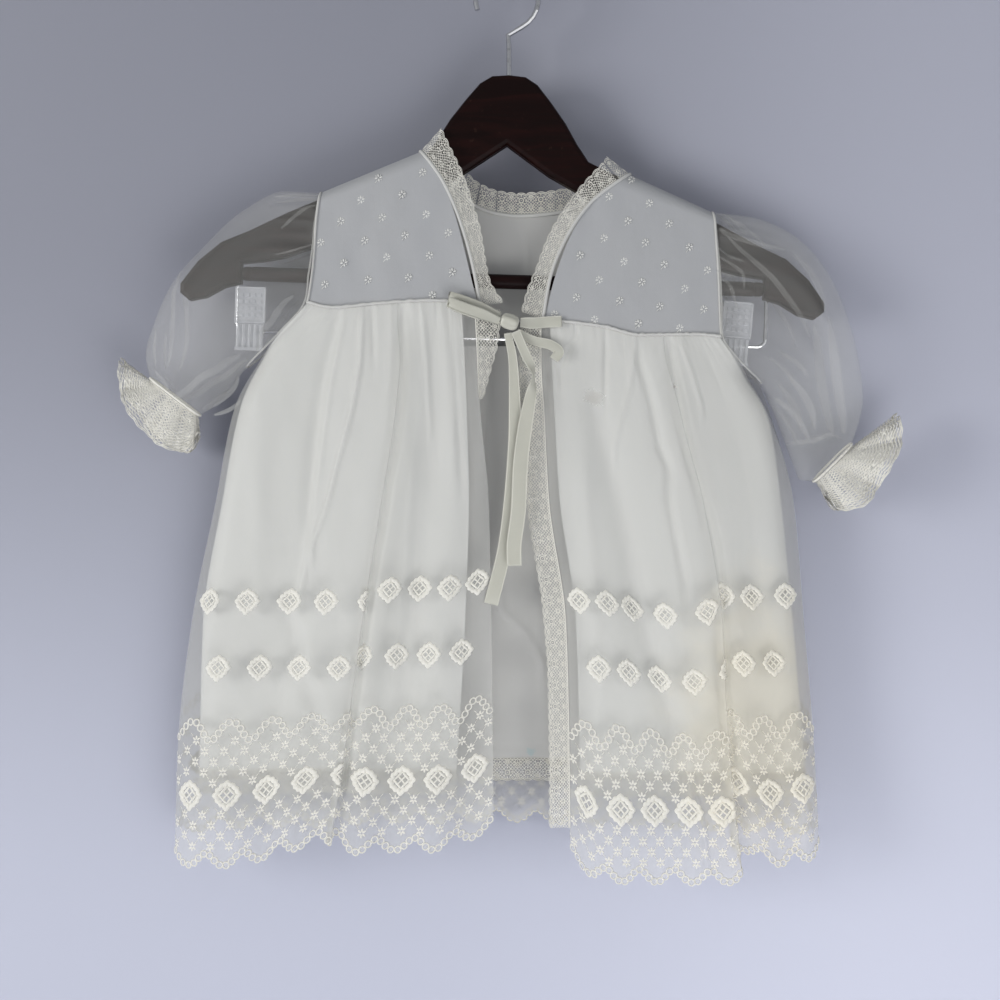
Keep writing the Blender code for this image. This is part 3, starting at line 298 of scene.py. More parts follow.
# Ribbon strips: x, y, z, width; the strip's flat side faces the front
RIBBONS = {
    "ribbon_loop_upper": (
        (-4.6, -17.6, -230.6, 5), (-16, -18.6, -224.5, 5), (-28, -18.8, -219.5, 4.5), (-36.5, -17.6, -216.5, 4),
        (-37.4, -15.8, -216.2, 4), (-27, -14.9, -219.4, 4.5), (-16, -14.7, -224, 5),
    ),
    "ribbon_loop_lower": (
        (-4.9, -20.9, -234.2, 5), (-17, -24.2, -229.8, 7), (-29, -24, -225.4, 7), (-37, -22.8, -222, 6.5),
        (-37.6, -21.2, -222, 6.5), (-29, -20.6, -225.8, 7), (-17, -20.6, -230.2, 7),
    ),
    "ribbon_band": (
        (8.6, -17.4, -234.5, 6), (16, -16, -234.8, 7.5), (25, -14, -234, 7.4), (35.6, -13.7, -233.4, 7.4),
    ),
    "ribbon_loop_right": (
        (6.2, -17.6, -240.6, 4.5), (18, -16.9, -246.5, 6), (28, -16.6, -249, 6.5), (33.5, -16.4, -253.5, 6.5),
        (30.5, -16.6, -258.5, 6),
    ),
    "ribbon_tail_front": (
        (5.4, -20, -240.6, 6), (12, -20.8, -256, 6), (17.2, -20.4, -269, 5), (14.5, -20.8, -286, 8),
        (11.4, -21.2, -304, 9.5), (8.4, -21.8, -330, 9.8), (7.2, -22.2, -356, 9.8), (4.4, -22.6, -380, 9.6),
        (4.6, -22.8, -392, 9.4),
    ),
    "ribbon_tail_back": (
        (0.4, -17.4, -241.4, 5), (4, -17.4, -262, 6), (5, -17.4, -300, 8), (2.5, -17.6, -345, 8.5),
        (-1.5, -18, -380, 9), (-6, -18.4, -400, 9.2), (-9.2, -18.8, -412, 9.2), (-10.4, -18.8, -417, 9.2),
    ),
}


# Curves and grids

def smooth(stations, values, at):
    """A curve through the values that doesn't overshoot them; a 2-D table gives a curve a column."""
    x = np.asarray(stations, float)
    y = np.asarray(values, float)
    at = np.asarray(at, float)
    if x.ndim == 1:
        x = x.reshape(-1, *[1] * (y.ndim - 1)) if y.ndim > 1 else x
    x = np.broadcast_to(x, y.shape)
    step = np.diff(x, axis=0)
    rise = np.diff(y, axis=0) / step
    slope = np.zeros(y.shape)
    slope[0], slope[-1] = rise[0], rise[-1]
    both = rise[:-1] * rise[1:]
    mean = 2 * both / np.where(both > 0, rise[:-1] + rise[1:], 1)
    slope[1:-1] = np.where(both > 0, mean, 0)
    at = np.clip(at, x[0], x[-1])
    result = np.zeros(np.broadcast(at, y[0]).shape)
    for i in range(len(step)):
        t = np.clip((at - x[i]) / step[i], 0, 1)
        ahead = t * t * (3 - 2 * t)
        piece = y[i] * (1 - ahead) + y[i + 1] * ahead
        piece = piece + step[i] * (slope[i] * t * (1 - t) ** 2 - slope[i + 1] * t * t * (1 - t))
        result = np.where((at >= x[i]) | (i == 0), piece, result)
    return result


def ease(t):
    t = np.clip(t, 0, 1)
    return t * t * (3 - 2 * t)


def bump(distance, width):
    """1 on a line, falling softly to 0 beyond about twice the width."""
    return np.exp(-((distance / width) ** 2))


def grid_normals(points, ring=False):
    if ring:
        wide = np.concatenate([points[:, -1:], points, points[:, :1]], axis=1)
        along = wide[:, 2:] - wide[:, :-2]
    else:
        along = np.gradient(points, axis=1)
    down = np.gradient(points, axis=0)
    normal = np.cross(along, down)
    return normal / np.maximum(np.linalg.norm(normal, axis=2, keepdims=True), 1e-9)


class Surface:
    """A grid of cloth points that is read between its points, by a value across and a value down."""

    def __init__(self, points, across, down, side, ring=False):
        self.points = points
        self.across = np.asarray(across, float)
        self.down = np.asarray(down, float)
        self.normals = grid_normals(points, ring)
        if ring:
            middle = points.mean(axis=1, keepdims=True)
            outward = np.sum(self.normals * (points - middle))
        else:
            outward = np.sum(self.normals[..., 1]) * side
        if outward < 0:
            self.normals = -self.normals

    def across_per_mm(self, across, down):
        """How much the value across grows for each millimetre along the cloth, at given places."""
        reach = (self.across[-1] - self.across[0]) * 0.004
        nothing = np.zeros(len(across))
        before = self.at(np.maximum(across - reach, self.across[0]), down, nothing)
        after = self.at(np.minimum(across + reach, self.across[-1]), down, nothing)
        span = np.minimum(across + reach, self.across[-1]) - np.maximum(across - reach, self.across[0])
        return span / np.maximum(np.linalg.norm(after - before, axis=1), 1e-6)

    def at(self, across, down, lift):
        column = np.interp(across, self.across, np.arange(len(self.across)))
        row = np.interp(down, self.down, np.arange(len(self.down)))
        c = np.minimum(column.astype(int), len(self.across) - 2)
        r = np.minimum(row.astype(int), len(self.down) - 2)
        fc = (column - c)[..., None]
        fr = (row - r)[..., None]
        read = []
        for grid in (self.points, self.normals):
            upper = grid[r, c] * (1 - fc) + grid[r, c + 1] * fc
            lower = grid[r + 1, c] * (1 - fc) + grid[r + 1, c + 1] * fc
            read.append(upper * (1 - fr) + lower * fr)
        return read[0] + read[1] * np.asarray(lift)[..., None]


def add_mesh(name, points, faces, finish):
    """A smooth mesh from points in millimetres and lists of point numbers."""
    data = bpy.data.meshes.new(name)
    data.from_pydata((np.asarray(points) * MM).tolist(), [], faces)
    data.validate()
    data.shade_smooth()
    data.materials.append(finish)
    obj = bpy.data.objects.new(name, data)
    bpy.context.scene.collection.objects.link(obj)
    return obj


def grid_faces(rows, columns, ring=False, first=0):
    last = columns if ring else columns - 1
    return [
        (
            first + r * columns + c, first + r * columns + (c + 1) % columns,
            first + (r + 1) * columns + (c + 1) % columns, first + (r + 1) * columns + c,
        )
        for r in range(rows - 1) for c in range(last)
    ]


def sheet_mesh(name, points, finish, ring=False):
    rows, columns = points.shape[:2]
    return add_mesh(name, points.reshape(-1, 3), grid_faces(rows, columns, ring), finish)


def wall_mesh(name, outer, normals, thick, finish):
    """A thin closed wall behind a grid of outer points."""
    rows, columns = outer.shape[:2]
    inner = outer - normals * thick
    points = np.concatenate([outer.reshape(-1, 3), inner.reshape(-1, 3)])
    half = rows * columns
    faces = grid_faces(rows, columns) + [f[::-1] for f in grid_faces(rows, columns, first=half)]
    for r in range(rows - 1):
        for c in (0, columns - 1):
            a, b = r * columns + c, (r + 1) * columns + c
            faces.append((a, b, b + half, a + half))
    for c in range(columns - 1):
        for r in (0, rows - 1):
            a, b = r * columns + c, r * columns + c + 1
            faces.append((a, b, b + half, a + half))
    return add_mesh(name, points, faces, finish)


def dress(obj, slot, *nodes):
    """Attaches a piece to the root and hides the CAD parts that it replaces."""
    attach(obj, "root")
    if nodes:
        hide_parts(*nodes)
    return obj


# Stitches: templates of (across, up, lift) points on the cloth, with their faces

def stroke(path, width, height, closed=False):
    """A rounded thread laid along a path."""
    path = np.asarray(path, float)
    if closed:
        ahead, behind = np.roll(path, -1, axis=0), np.roll(path, 1, axis=0)
        along = ahead - behind
    else:
        along = np.gradient(path, axis=0)
    along /= np.maximum(np.linalg.norm(along, axis=1, keepdims=True), 1e-9)
    beside = np.stack([-along[:, 1], along[:, 0]], axis=1)
    points = []
    for share, lift in ((-0.5, 0.0), (-0.27, 0.8), (0.27, 0.8), (0.5, 0.0)):
        place = path + beside * width * share
        points.append(np.column_stack([place, np.full(len(path), height * lift)]))
    points = np.stack(points, axis=1).reshape(-1, 3)
    count = len(path) if closed else len(path) - 1
    faces = []
    for i in range(count):
        a, b = i * 4, (i + 1) % len(path) * 4
        faces += [(a + k, b + k, b + k + 1, a + k + 1) for k in range(3)]
    return points, faces


def circle(radius, steps, centre=(0.0, 0.0), squash=1.0):
    turn = np.linspace(0, 2 * math.pi, steps, endpoint=False)
    return np.column_stack([centre[0] + radius * np.cos(turn), centre[1] + radius * squash * np.sin(turn)])


def leaf(angle, start, length, width, height):
    """A satin-stitch petal that points away from the middle."""
    turn = np.linspace(0, 2 * math.pi, 9)[:-1]
    u = start + length * (0.5 - 0.5 * np.cos(turn))
    v = width / 2 * np.sin(turn)
    rim = np.column_stack([u, v, np.zeros(8)])
    points = np.vstack([rim, [start + length * 0.5, 0, height]])
    c, s = math.cos(angle), math.sin(angle)
    points[:, :2] = points[:, :2] @ np.array([[c, s], [-s, c]])
    faces = [(i, (i + 1) % 8, 8) for i in range(8)]
    return points, faces


def joined(*parts):
    points, faces, first = [], [], 0
    for part_points, part_faces in parts:
        points.append(part_points)
        faces += [tuple(i + first for i in f) for f in part_faces]
        first += len(part_points)
    return np.vstack(points), faces


def moved(part, scale=1.0, offset=(0.0, 0.0), turn=0.0):
    points, faces = part
    points = points * scale
    c, s = math.cos(turn), math.sin(turn)
    points[:, :2] = points[:, :2] @ np.array([[c, s], [-s, c]]) + np.asarray(offset)
    return points, faces


def stitched(name, surface, work, finish, lift=0.12):
    """One joined mesh; work holds (template, places across, places up), and up runs against down."""
    points, faces, first = [], [], 0
    for (shape, shape_faces), across, up in work:
        across = np.atleast_1d(np.asarray(across, float))
        up = np.atleast_1d(np.asarray(up, float))
        per_mm = surface.across_per_mm(across, -up)[:, None]
        u = across[:, None] + shape[None, :, 0] * per_mm
        v = up[:, None] + shape[None, :, 1]
        h = np.broadcast_to(shape[None, :, 2] + lift, u.shape)
        placed = surface.at(u, -v, h)
        points.append(placed.reshape(-1, 3))
        for k in range(len(across)):
            start = first + k * len(shape)
            faces += [tuple(i + start for i in f) for f in shape_faces]
        first += len(across) * len(shape)
    return add_mesh(name, np.vstack(points), faces, finish)


# Materials

def wire_up(tree, kind, place=(0, 0), **settings):
    made = tree.nodes.new(kind)
    made.location = place
    for name, value in settings.items():
        setattr(made, name, value)
    return made


class Finish:
    """A procedural finish that is put together a step at a time."""

    def __init__(self, name, colour, roughness, **constants):
        self.material = bpy.data.materials.new(name)
        self.material.use_nodes = True
        self.tree = self.material.node_tree
        self.shader = self.tree.nodes["Principled BSDF"]
        self.shader.inputs["Roughness"].default_value = roughness
        for key, value in constants.items():
            self.shader.inputs[key.replace("_", " ")].default_value = value
        self.place = wire_up(self.tree, "ShaderNodeTexCoord", (-1600, 0)).outputs["Object"]
        paint = wire_up(self.tree, "ShaderNodeRGB", (-900, 300))
        paint.outputs[0].default_value = (*colour, 1.0)
        self.colour = paint.outputs[0]
        self.height = None

    def noise(self, scale, detail=3.0, stretch=(1, 1, 1), distortion=0.0):
        fit = wire_up(self.tree, "ShaderNodeMapping", (-1400, -200))
        fit.inputs["Scale"].default_value = stretch
        self.tree.links.new(self.place, fit.inputs["Vector"])
        made = wire_up(self.tree, "ShaderNodeTexNoise", (-1200, -200))
        made.inputs["Scale"].default_value = scale
        made.inputs["Detail"].default_value = detail
        made.inputs["Distortion"].default_value = distortion
        self.tree.links.new(fit.outputs[0], made.inputs["Vector"])
        return made.outputs[0]

    def bands(self, scale, direction, distortion=0.0):
        made = wire_up(self.tree, "ShaderNodeTexWave", (-1200, -500), bands_direction=direction)
        made.inputs["Scale"].default_value = scale
        made.inputs["Distortion"].default_value = distortion
        made.inputs["Detail"].default_value = 1.0
        self.tree.links.new(self.place, made.inputs["Vector"])
        return made.outputs["Fac"]

    def sums(self, operation, *values):
        """Folds values together with one operation; numbers and sockets both serve."""
        total = values[0]
        for value in values[1:]:
            made = wire_up(self.tree, "ShaderNodeMath", (-800, -400), operation=operation)
            for slot, part in zip(made.inputs, (total, value)):
                if isinstance(part, (int, float)):
                    slot.default_value = part
                else:
                    self.tree.links.new(part, slot)
            total = made.outputs[0]
        return total

    def ranged(self, value, low, high, to_low=0.0, to_high=1.0):
        made = wire_up(self.tree, "ShaderNodeMapRange", (-700, 0), interpolation_type="SMOOTHSTEP")
        for key, number in (("From Min", low), ("From Max", high), ("To Min", to_low), ("To Max", to_high)):
            made.inputs[key].default_value = number
        self.tree.links.new(value, made.inputs["Value"])
        return made.outputs[0]

    def tint(self, colour, factor, strength=1.0, blend="MIX"):
        """Moves the colour toward another one by a factor."""
        mix = wire_up(self.tree, "ShaderNodeMix", (-400, 300), data_type="RGBA", blend_type=blend)
        self.tree.links.new(self.sums("MULTIPLY", factor, strength), mix.inputs["Factor"])
        self.tree.links.new(self.colour, mix.inputs[6])
        mix.inputs[7].default_value = (*colour, 1.0)
        self.colour = mix.outputs[2]
        return self

    def spot(self, centre, radii, ragged=0.35, scale=60.0):
        """A soft ragged patch, 1 in its middle, given in metres."""
        moved_to = wire_up(self.tree, "ShaderNodeVectorMath", (-1300, 500), operation="SUBTRACT")
        self.tree.links.new(self.place, moved_to.inputs[0])
        moved_to.inputs[1].default_value = centre
        sized = wire_up(self.tree, "ShaderNodeVectorMath", (-1150, 500), operation="DIVIDE")
        self.tree.links.new(moved_to.outputs[0], sized.inputs[0])
        sized.inputs[1].default_value = radii
        far = wire_up(self.tree, "ShaderNodeVectorMath", (-1000, 500), operation="LENGTH")
        self.tree.links.new(sized.outputs[0], far.inputs[0])
        rough = self.sums("MULTIPLY", self.sums("SUBTRACT", self.noise(scale, 4.0), 0.5), ragged * 2)
        return self.ranged(self.sums("ADD", far.outputs["Value"], rough), 1.0, 0.35)

    def bumped(self, height, strength, distance):
        """Adds a height, in metres, to the surface."""
        made = wire_up(self.tree, "ShaderNodeBump", (-300, -300))
        made.inputs["Strength"].default_value = strength
        made.inputs["Distance"].default_value = distance
        self.tree.links.new(height, made.inputs["Height"])
        if self.height is not None:
            self.tree.links.new(self.height, made.inputs["Normal"])
        self.height = made.outputs[0]
        return self

    def done(self):
        self.tree.links.new(self.colour, self.shader.inputs["Base Color"])
        if self.height is not None:
            self.tree.links.new(self.height, self.shader.inputs["Normal"])
        return self.material


def stains(finish, cream, strength=1.0):
    """Old yellowing low on the viewer's right side, and a few small marks."""
    finish.tint(cream, finish.spot((0.165, 0.0, -0.50), (0.075, 0.2, 0.125)), 0.55 * strength)
    finish.tint((0.30, 0.22, 0.15), finish.spot((0.0566, 0, -0.2828), (0.0075, 0.2, 0.0058), 0.9, 300), 0.16 * strength)
    finish.tint((0.16, 0.10, 0.07), finish.spot((0.109, 0, -0.2757), (0.0014, 0.2, 0.0012), 0.3, 400), 0.7 * strength)
    return finish


def organza_finish(settings, name="sheer organza", cover=None):
    made = Finish(
        name, settings.organza_colour, 0.5, Alpha=cover or settings.organza_cover, Sheen_Weight=0.2,
        Sheen_Roughness=0.4,
    )
    weave = made.sums("ADD", made.bands(900, "X"), made.bands(900, "Z"))
    made.bumped(weave, 0.25, 0.00008)
    made.bumped(made.noise(240, 4.0, (1, 1, 0.35)), 0.35, 0.0004)
    made.tint((0.62, 0.62, 0.60), made.noise(35, 4.0, (1, 1, 0.3)), 0.25)
    stains(made, (0.80, 0.74, 0.58))
    return made.done()


def thread_finish(settings, name="embroidery thread", sheen=0.3, colour=None):
    made = Finish(name, colour or settings.thread_colour, 0.62, Sheen_Weight=sheen, Sheen_Roughness=0.5)
    made.bumped(made.bands(1100, "DIAGONAL", 0.4), 0.5, 0.0001)
    made.bumped(made.noise(900, 2.0), 0.3, 0.0001)
    made.tint((0.70, 0.68, 0.60), made.noise(30, 3.0), 0.22)
    stains(made, (0.82, 0.75, 0.58), 0.8)
    return made.done()


def lining_finish(settings, name="woven lining", colour=None):
    made = Finish(name, colour or settings.lining_colour, 0.72, Sheen_Weight=0.2, Sheen_Roughness=0.5)
    weave = made.sums("ADD", made.bands(1200, "X"), made.bands(1200, "Z"))
    made.bumped(weave, 0.3, 0.00006)
    made.bumped(made.noise(45, 3.0, (1, 1, 0.35)), 0.25, 0.0022)
    made.bumped(made.noise(170, 3.0), 0.25, 0.0005)
    made.tint((0.60, 0.59, 0.54), made.noise(22, 4.0, (1, 1, 0.4)), 0.22)
    stains(made, (0.80, 0.74, 0.58), 0.8)
    made.tint((0.30, 0.45, 0.46), made.spot((0.0158, 0, -0.5172), (0.004, 0.2, 0.0035), 0.7, 300), 0.45)
    return made.done()


def net_finish(settings):
    made = Finish("lace net", settings.lace_colour, 0.65, Alpha=0.14, Sheen_Weight=0.2)
    cells = wire_up(made.tree, "ShaderNodeTexVoronoi", (-1100, 0), feature="DISTANCE_TO_EDGE")
    cells.inputs["Scale"].default_value = 900
    made.tree.links.new(made.place, cells.inputs["Vector"])
    made.bumped(made.ranged(cells.outputs["Distance"], 0.05, 0.25, 1.0, 0.0), 0.8, 0.0002)
    made.tint((0.55, 0.53, 0.46), made.ranged(cells.outputs["Distance"], 0.10, 0.30), 0.35)
    made.tint((0.60, 0.55, 0.44), made.noise(40, 3.0), 0.2)
    return made.done()


def satin_finish(settings):
    made = Finish(
        "satin ribbon", settings.ribbon_colour, 0.34, Sheen_Weight=0.15, Anisotropic=0.4, Coat_Weight=0.08,
        Coat_Roughness=0.35,
    )
    made.bumped(made.bands(1500, "Z"), 0.25, 0.00005)
    made.bumped(made.noise(160, 3.0, (0.4, 1, 1)), 0.3, 0.0005)
    made.tint((0.62, 0.60, 0.50), made.noise(90, 3.0), 0.25)
    return made.done()


def wood_finish(settings):
    made = Finish(
        "varnished wood", settings.wood_colour, 0.45, Coat_Weight=0.03, Coat_Roughness=0.25,
        Specular_IOR_Level=0.10,
    )
    grain = made.noise(120, 6.0, (0.12, 1, 1), 1.2)
    made.tint((0.018, 0.004, 0.003), made.ranged(grain, 0.35, 0.7), 0.6)
    pores = made.noise(900, 3.0, (0.05, 1, 1))
    made.tint((0.006, 0.003, 0.002), made.ranged(pores, 0.55, 0.72), 0.7)
    made.bumped(pores, 0.2, 0.0001)
    made.tint((0.06, 0.03, 0.02), made.ranged(made.noise(260, 4.0), 0.66, 0.74), 0.2)
    return made.done()


def chrome_finish(settings):
    made = Finish("worn chrome", (0.62, 0.62, 0.62), 0.18, Metallic=1.0)
    made.bumped(made.noise(700, 3.0, (0.1, 1, 1)), 0.15, 0.00008)
    made.tint((0.30, 0.29, 0.27), made.ranged(made.noise(300, 4.0), 0.55, 0.75), 0.45)
    return made.done()


def plastic_finish(settings):
    made = Finish("moulded plastic", (0.72, 0.73, 0.74), 0.16, Alpha=0.45, Coat_Weight=0.3, Coat_Roughness=0.1)
    made.bumped(made.noise(320, 3.0), 0.25, 0.0003)
    made.tint((0.55, 0.56, 0.58), made.ranged(made.noise(160, 3.0), 0.4, 0.7), 0.5)
    return made.done()


made_finishes = {}


def finishes():
    """The finishes, made once from the panel's colours."""
    settings = bpy.context.scene.coat_settings
    if not made_finishes:
        made_finishes.update(
            organza=organza_finish(settings),
            sleeve=organza_finish(settings, "sleeve organza", settings.sleeve_cover),
            thread=thread_finish(settings),
            sprig=thread_finish(settings, "yoke thread", 0.3, (0.68, 0.68, 0.64)),
            lace=thread_finish(settings, "lace thread", 0.25, tuple(settings.lace_colour)),
            lining=lining_finish(settings),
            # Painted shade: the back lining is the lining cloth in a darker copy, for the shade inside the coat
            back_lining=lining_finish(settings, "back lining with painted shade", tuple(settings.shaded_back_colour)),
            binding=lining_finish(settings, "seam binding", (0.56, 0.555, 0.52)),
            # The yoke's grey is darker than the skirts' organza: partly its own tone, partly painted shade for the
            # dimmer light near the top of the coat
            yoke=lining_finish(settings, "yoke cloth", tuple(settings.yoke_colour)),
            net=net_finish(settings),
            satin=satin_finish(settings),
            wood=wood_finish(settings),
            chrome=chrome_finish(settings),
            plastic=plastic_finish(settings),
        )
    return made_finishes


# Skirt panels

def crease_depth(creases, x, z):
    """How far the listed creases move the cloth outward."""
    total = np.zeros(x.shape)
    for depth, width, line in creases:
        heights = [-p[1] for p in line]
        beside = x - np.interp(-z, heights, [p[0] for p in line])
        beyond = np.maximum(np.maximum(heights[0] - (-z), (-z) - heights[-1]), 0)
        total += depth * bump(beside, width) * bump(beyond, 14.0)
    return total


def gather_depth(share, fall, width_mm, seed):
    """Uneven gathers that die away below the seam, by the share of the way along it."""
    chance = np.random.RandomState(seed)
    count = int(width_mm / 4.6)
    total = np.zeros(fall.shape)
    for k in range(count):
        place = (k + 0.5 + chance.uniform(-0.42, 0.42)) / count
        length = chance.uniform(7, 22) if chance.rand() < 0.65 else chance.uniform(30, 80)
        depth = chance.uniform(-1.2, 1.0)
        width = chance.uniform(0.22, 0.42) / count
        drift = chance.uniform(-0.0004, 0.0004)
        total += depth * bump(share - place - drift * fall, width) * np.exp(-fall / length)
    return total


def ripple_depth(x, z, seed, count=26, least=16.0, most=60.0):
    """Small soft waves that cross one another without repeating."""
    chance = np.random.RandomState(seed)
    total = np.zeros(x.shape)
    for _ in range(count):
        length = chance.uniform(least, most)
        lean = chance.normal(0, 0.35)
        phase = chance.uniform(0, 2 * math.pi)
        total += length * np.sin((x * math.cos(lean) + z * math.sin(lean)) * 2 * math.pi / length + phase)
    return total / (count ** 0.5 * (least + most) * 0.5)


class SkirtPanel:
    """A gathered, bordered panel as a fine grid of cloth."""

    def __init__(self, folds, heights, hem, level, seam, underarms, side, lap, creases, seed, settings):
        self.side = side
        stations = [f[0] for f in folds]
        last = stations[-1]
        self.columns = np.linspace(0, last, last * 8 + 1)
        c = self.even_columns(stations, folds, lap)
        table_x = np.array([f[1] for f in folds], float).T
        table_y = np.array([f[2] for f in folds], float).T
        at_x = np.array([smooth(stations, row, c) for row in table_x])
        at_y = np.array([smooth(stations, row, c) for row in table_y])
        self.low = smooth([h[0] for h in hem], [h[1] for h in hem], c)
        flat = smooth([h[0] for h in level], [h[1] for h in level], c)
        top = smooth([p[0] for p in seam], [p[1] for p in seam], at_x[0]) - SEAM_GAP
        scallop = hem_rise(self.columns)
        border = np.concatenate([np.linspace(0, 14, 8)[:-1], np.linspace(14, BORDER_TOP, 66)])
        upper = np.linspace(0, 1, 56)[1:]
        even, trimmed = [], []
        for up in border:
            row = self.low + (flat - self.low) * ease((up - 25.0) / 115.0) + up
            even.append(row)
            trimmed.append(row + scallop * max(1 - up / 14.0, 0.0))
        for share in upper:
            start = flat + BORDER_TOP
            even.append(start + (top - start) * share)
            trimmed.append(even[-1])
        stations_down = np.repeat(np.array([-h for h in heights], float)[:, None], len(c), axis=1)
        stations_down[0] = -top

        def cloth_at(rows):
            z = np.array(rows[::-1])
            x = smooth(stations_down, at_x, -z)
            y = smooth(stations_down, at_y, -z)
            fall = top[None, :] - z
            out = crease_depth(creases, x, z)
            run = at_x[0][-1] - at_x[0][0]
            out += gather_depth((at_x[0] - at_x[0][0])[None] / run, fall, run, seed) * settings.gather_depth
            out += ripple_depth(x, z, seed + 1) * settings.ripple_depth * ease(fall / 60)
            out *= ease(fall / 3.0 + 0.35)
            y = y + side * out
            if lap:
                x = x + lap_shift(c, lap) * ease(fall / 45.0)
            for distance, underarm in ((c, underarms[0]), (last - c, underarms[1])):
                if underarm is None:
                    continue
                near = distance < SIDE_ROUND_COLUMNS
                closing = ease(fall / (top - underarm)[None, :]) ** 3
                arc = np.sqrt(np.maximum(1.004 - (1 - distance / SIDE_ROUND_COLUMNS) ** 2, 0))
                y = np.where(near[None, :], y * (1 - closing * (1 - np.minimum(arc, 1))[None, :]), y)
            y = side * np.maximum(y * side, SEAM_PLANE)
            return np.stack([x, y, z], axis=2)

        self.points = cloth_at(trimmed)
        self.down = np.concatenate([-(BORDER_TOP + 200 * upper[::-1]), -border[::-1]])
        self.surface = Surface(cloth_at(even), self.columns, self.down, side)

    def even_columns(self, stations, folds, lap):
        """Places in the fold table of columns that are evenly spaced along the cloth near the hem."""
        fine = np.linspace(0, stations[-1], 2001)
        x = smooth(stations, [np.mean(f[1][-2:]) for f in folds], fine)
        y = smooth(stations, [np.mean(f[2][-2:]) for f in folds], fine)
        if lap:
            x = x + lap_shift(fine, lap)
        run = np.concatenate([[0], np.cumsum(np.hypot(np.diff(x), np.diff(y)))])
        return np.interp(np.linspace(0, run[-1], len(self.columns)), run, fine)


def ring_wave(column):
    """The rounded wave that the rings of the border follow."""
    return (0.5 + 0.5 * np.cos(2 * math.pi * column / QUARTERS)) ** 1.25


def hem_rise(column):
    """How far the cut edge stands above its lowest points; the rings reach just past it."""
    return SCALLOP_RISE * ring_wave(column) + 1.3


def chain(last, rise):
    """Places of touching rings that follow a wave of a given rise."""
    fine = np.linspace(0, last, last * 40 + 1)
    wave = rise * ring_wave(fine)
    run = np.concatenate([[0], np.cumsum(np.hypot(np.diff(fine) * PITCH / QUARTERS, np.diff(wave)))])
    count = round(run[-1] / RING_SPACING)
    places = np.interp((np.arange(count) + 0.5) * run[-1] / count, run, fine)
    return places, rise * ring_wave(places)


def lap_shift(column, lap):
    """Sideways shift that lays a fold's front layer over its back layer."""
    edge, root, reach = lap
    return reach * bump(column - edge - 0.05, 0.42) - 1.15 * reach * bump(column - root + 0.12, 0.36)


def medallion():
    """A lobed diamond with a pointed foot, an open line, and an inner diamond crossed by two bars into four openings.
    """
    turn = np.linspace(0, 2 * math.pi, 60, endpoint=False)
    diamond = 1 / (np.abs(np.cos(turn)) + np.abs(np.sin(turn)))
    foot = 0.9 * bump((turn - 1.5 * math.pi), 0.2)
    radius = 8.0 * (0.46 * diamond + 0.50) + 0.5 * np.cos(12 * turn) + foot
    rim = np.column_stack([radius * np.cos(turn), radius * np.sin(turn)])
    corners = np.array([(5.0, 0), (0, 5.3), (-5.0, 0), (0, -5.3)])
    frame_line = np.concatenate([np.linspace(a, b, 5)[:-1] for a, b in zip(corners, np.roll(corners, -1, axis=0))])
    bars = [stroke([(-2.5, -2.6), (0, 0), (2.5, 2.6)], 1.1, 0.5), stroke([(-2.5, 2.6), (0, 0), (2.5, -2.6)], 1.1, 0.5)]
    lobes = [
        leaf(angle, reach - 1.9, 3.4, 3.3, 1.05)
        for angle in np.linspace(0, 2 * math.pi, 12, endpoint=False)
        for reach in [float(np.interp(angle, turn, radius))]
    ]
    return joined(stroke(rim, 3.0, 0.8, True), *lobes, stroke(frame_line, 1.5, 0.6, True), *bars)


def border_work(last):
    """Templates and their places, across in quarter pitches and up in millimetres."""
    work = []
    for height, first, scale in MEDALLION_ROWS:
        places = np.arange(first, last, QUARTERS)
        places = places[(places > 0.8) & (places < last - 0.8)]
        work.append((moved(medallion(), scale), places, np.full(len(places), height)))
    ring = stroke(circle(2.1, 14), 1.0, 0.6, True)
    places, rise = chain(last, SCALLOP_RISE)
    work.append((ring, places, 2.7 + rise))
    places, rise = chain(last, RING_RISE)
    work.append((ring, places, 95.0 - rise))
    petals = [leaf(math.radians(a), 0.5, 2.7, 1.35, 0.5) for a in (35, 90, 145, 215, 270, 325)]
    stems = [stroke([(sx * 2.4, 2.4), (sx * 3.2, 3.5), (sx * 4.2, 4.4)], 0.42, 0.25) for sx in (-1, 1)]
    flower = joined(*petals, *stems)
    quarter = PITCH / QUARTERS
    for row in range(11):
        up = 15.0 + 6.8 * row
        shift = 1.0 if row % 2 else 0.0
        places = np.arange(0.5 + shift, last - 0.3, 2.0)
        nearest = (places - 2 + QUARTERS / 2) % QUARTERS - QUARTERS / 2
        clear = np.hypot(nearest * quarter, up - 48.0) > 12.0
        clear &= (np.abs(nearest * quarter) < 8.0) | (abs(up - 48.0) > 7.5)
        wave = ring_wave(places)
        clear &= up < 95.0 - RING_RISE * wave - 5.6
        clear &= up > 2.7 + SCALLOP_RISE * wave + 5.0
        places = places[clear]
        if len(places):
            work.append((flower, places, np.full(len(places), up)))
    return work


PANELS = (
    (
        "skirt_front_left", LEFT_FOLDS, LEFT_HEIGHTS, LEFT_HEM, LEFT_LEVEL, LEFT_SEAM, (LEFT_UNDERARM_Z, None), -1,
        LEFT_LAP, LEFT_CREASES, 11,
    ),
    (
        "skirt_front_right", RIGHT_FOLDS, RIGHT_HEIGHTS, RIGHT_HEM, RIGHT_LEVEL, RIGHT_SEAM, (None, RIGHT_UNDERARM_Z),
        -1, RIGHT_LAP, RIGHT_CREASES, 23,
    ),
    (
        "skirt_back", BACK_FOLDS, BACK_HEIGHTS, BACK_HEM, BACK_LEVEL, BACK_SEAM,
        (LEFT_UNDERARM_Z, RIGHT_UNDERARM_Z), 1, None, BACK_CREASES, 37,
    ),
)
panels = {}


def skirt_panels(settings):
    """The panels' grids, made once."""
    if not panels:
        for name, *values in PANELS:
            panels[name] = SkirtPanel(*values, settings)
    return panels


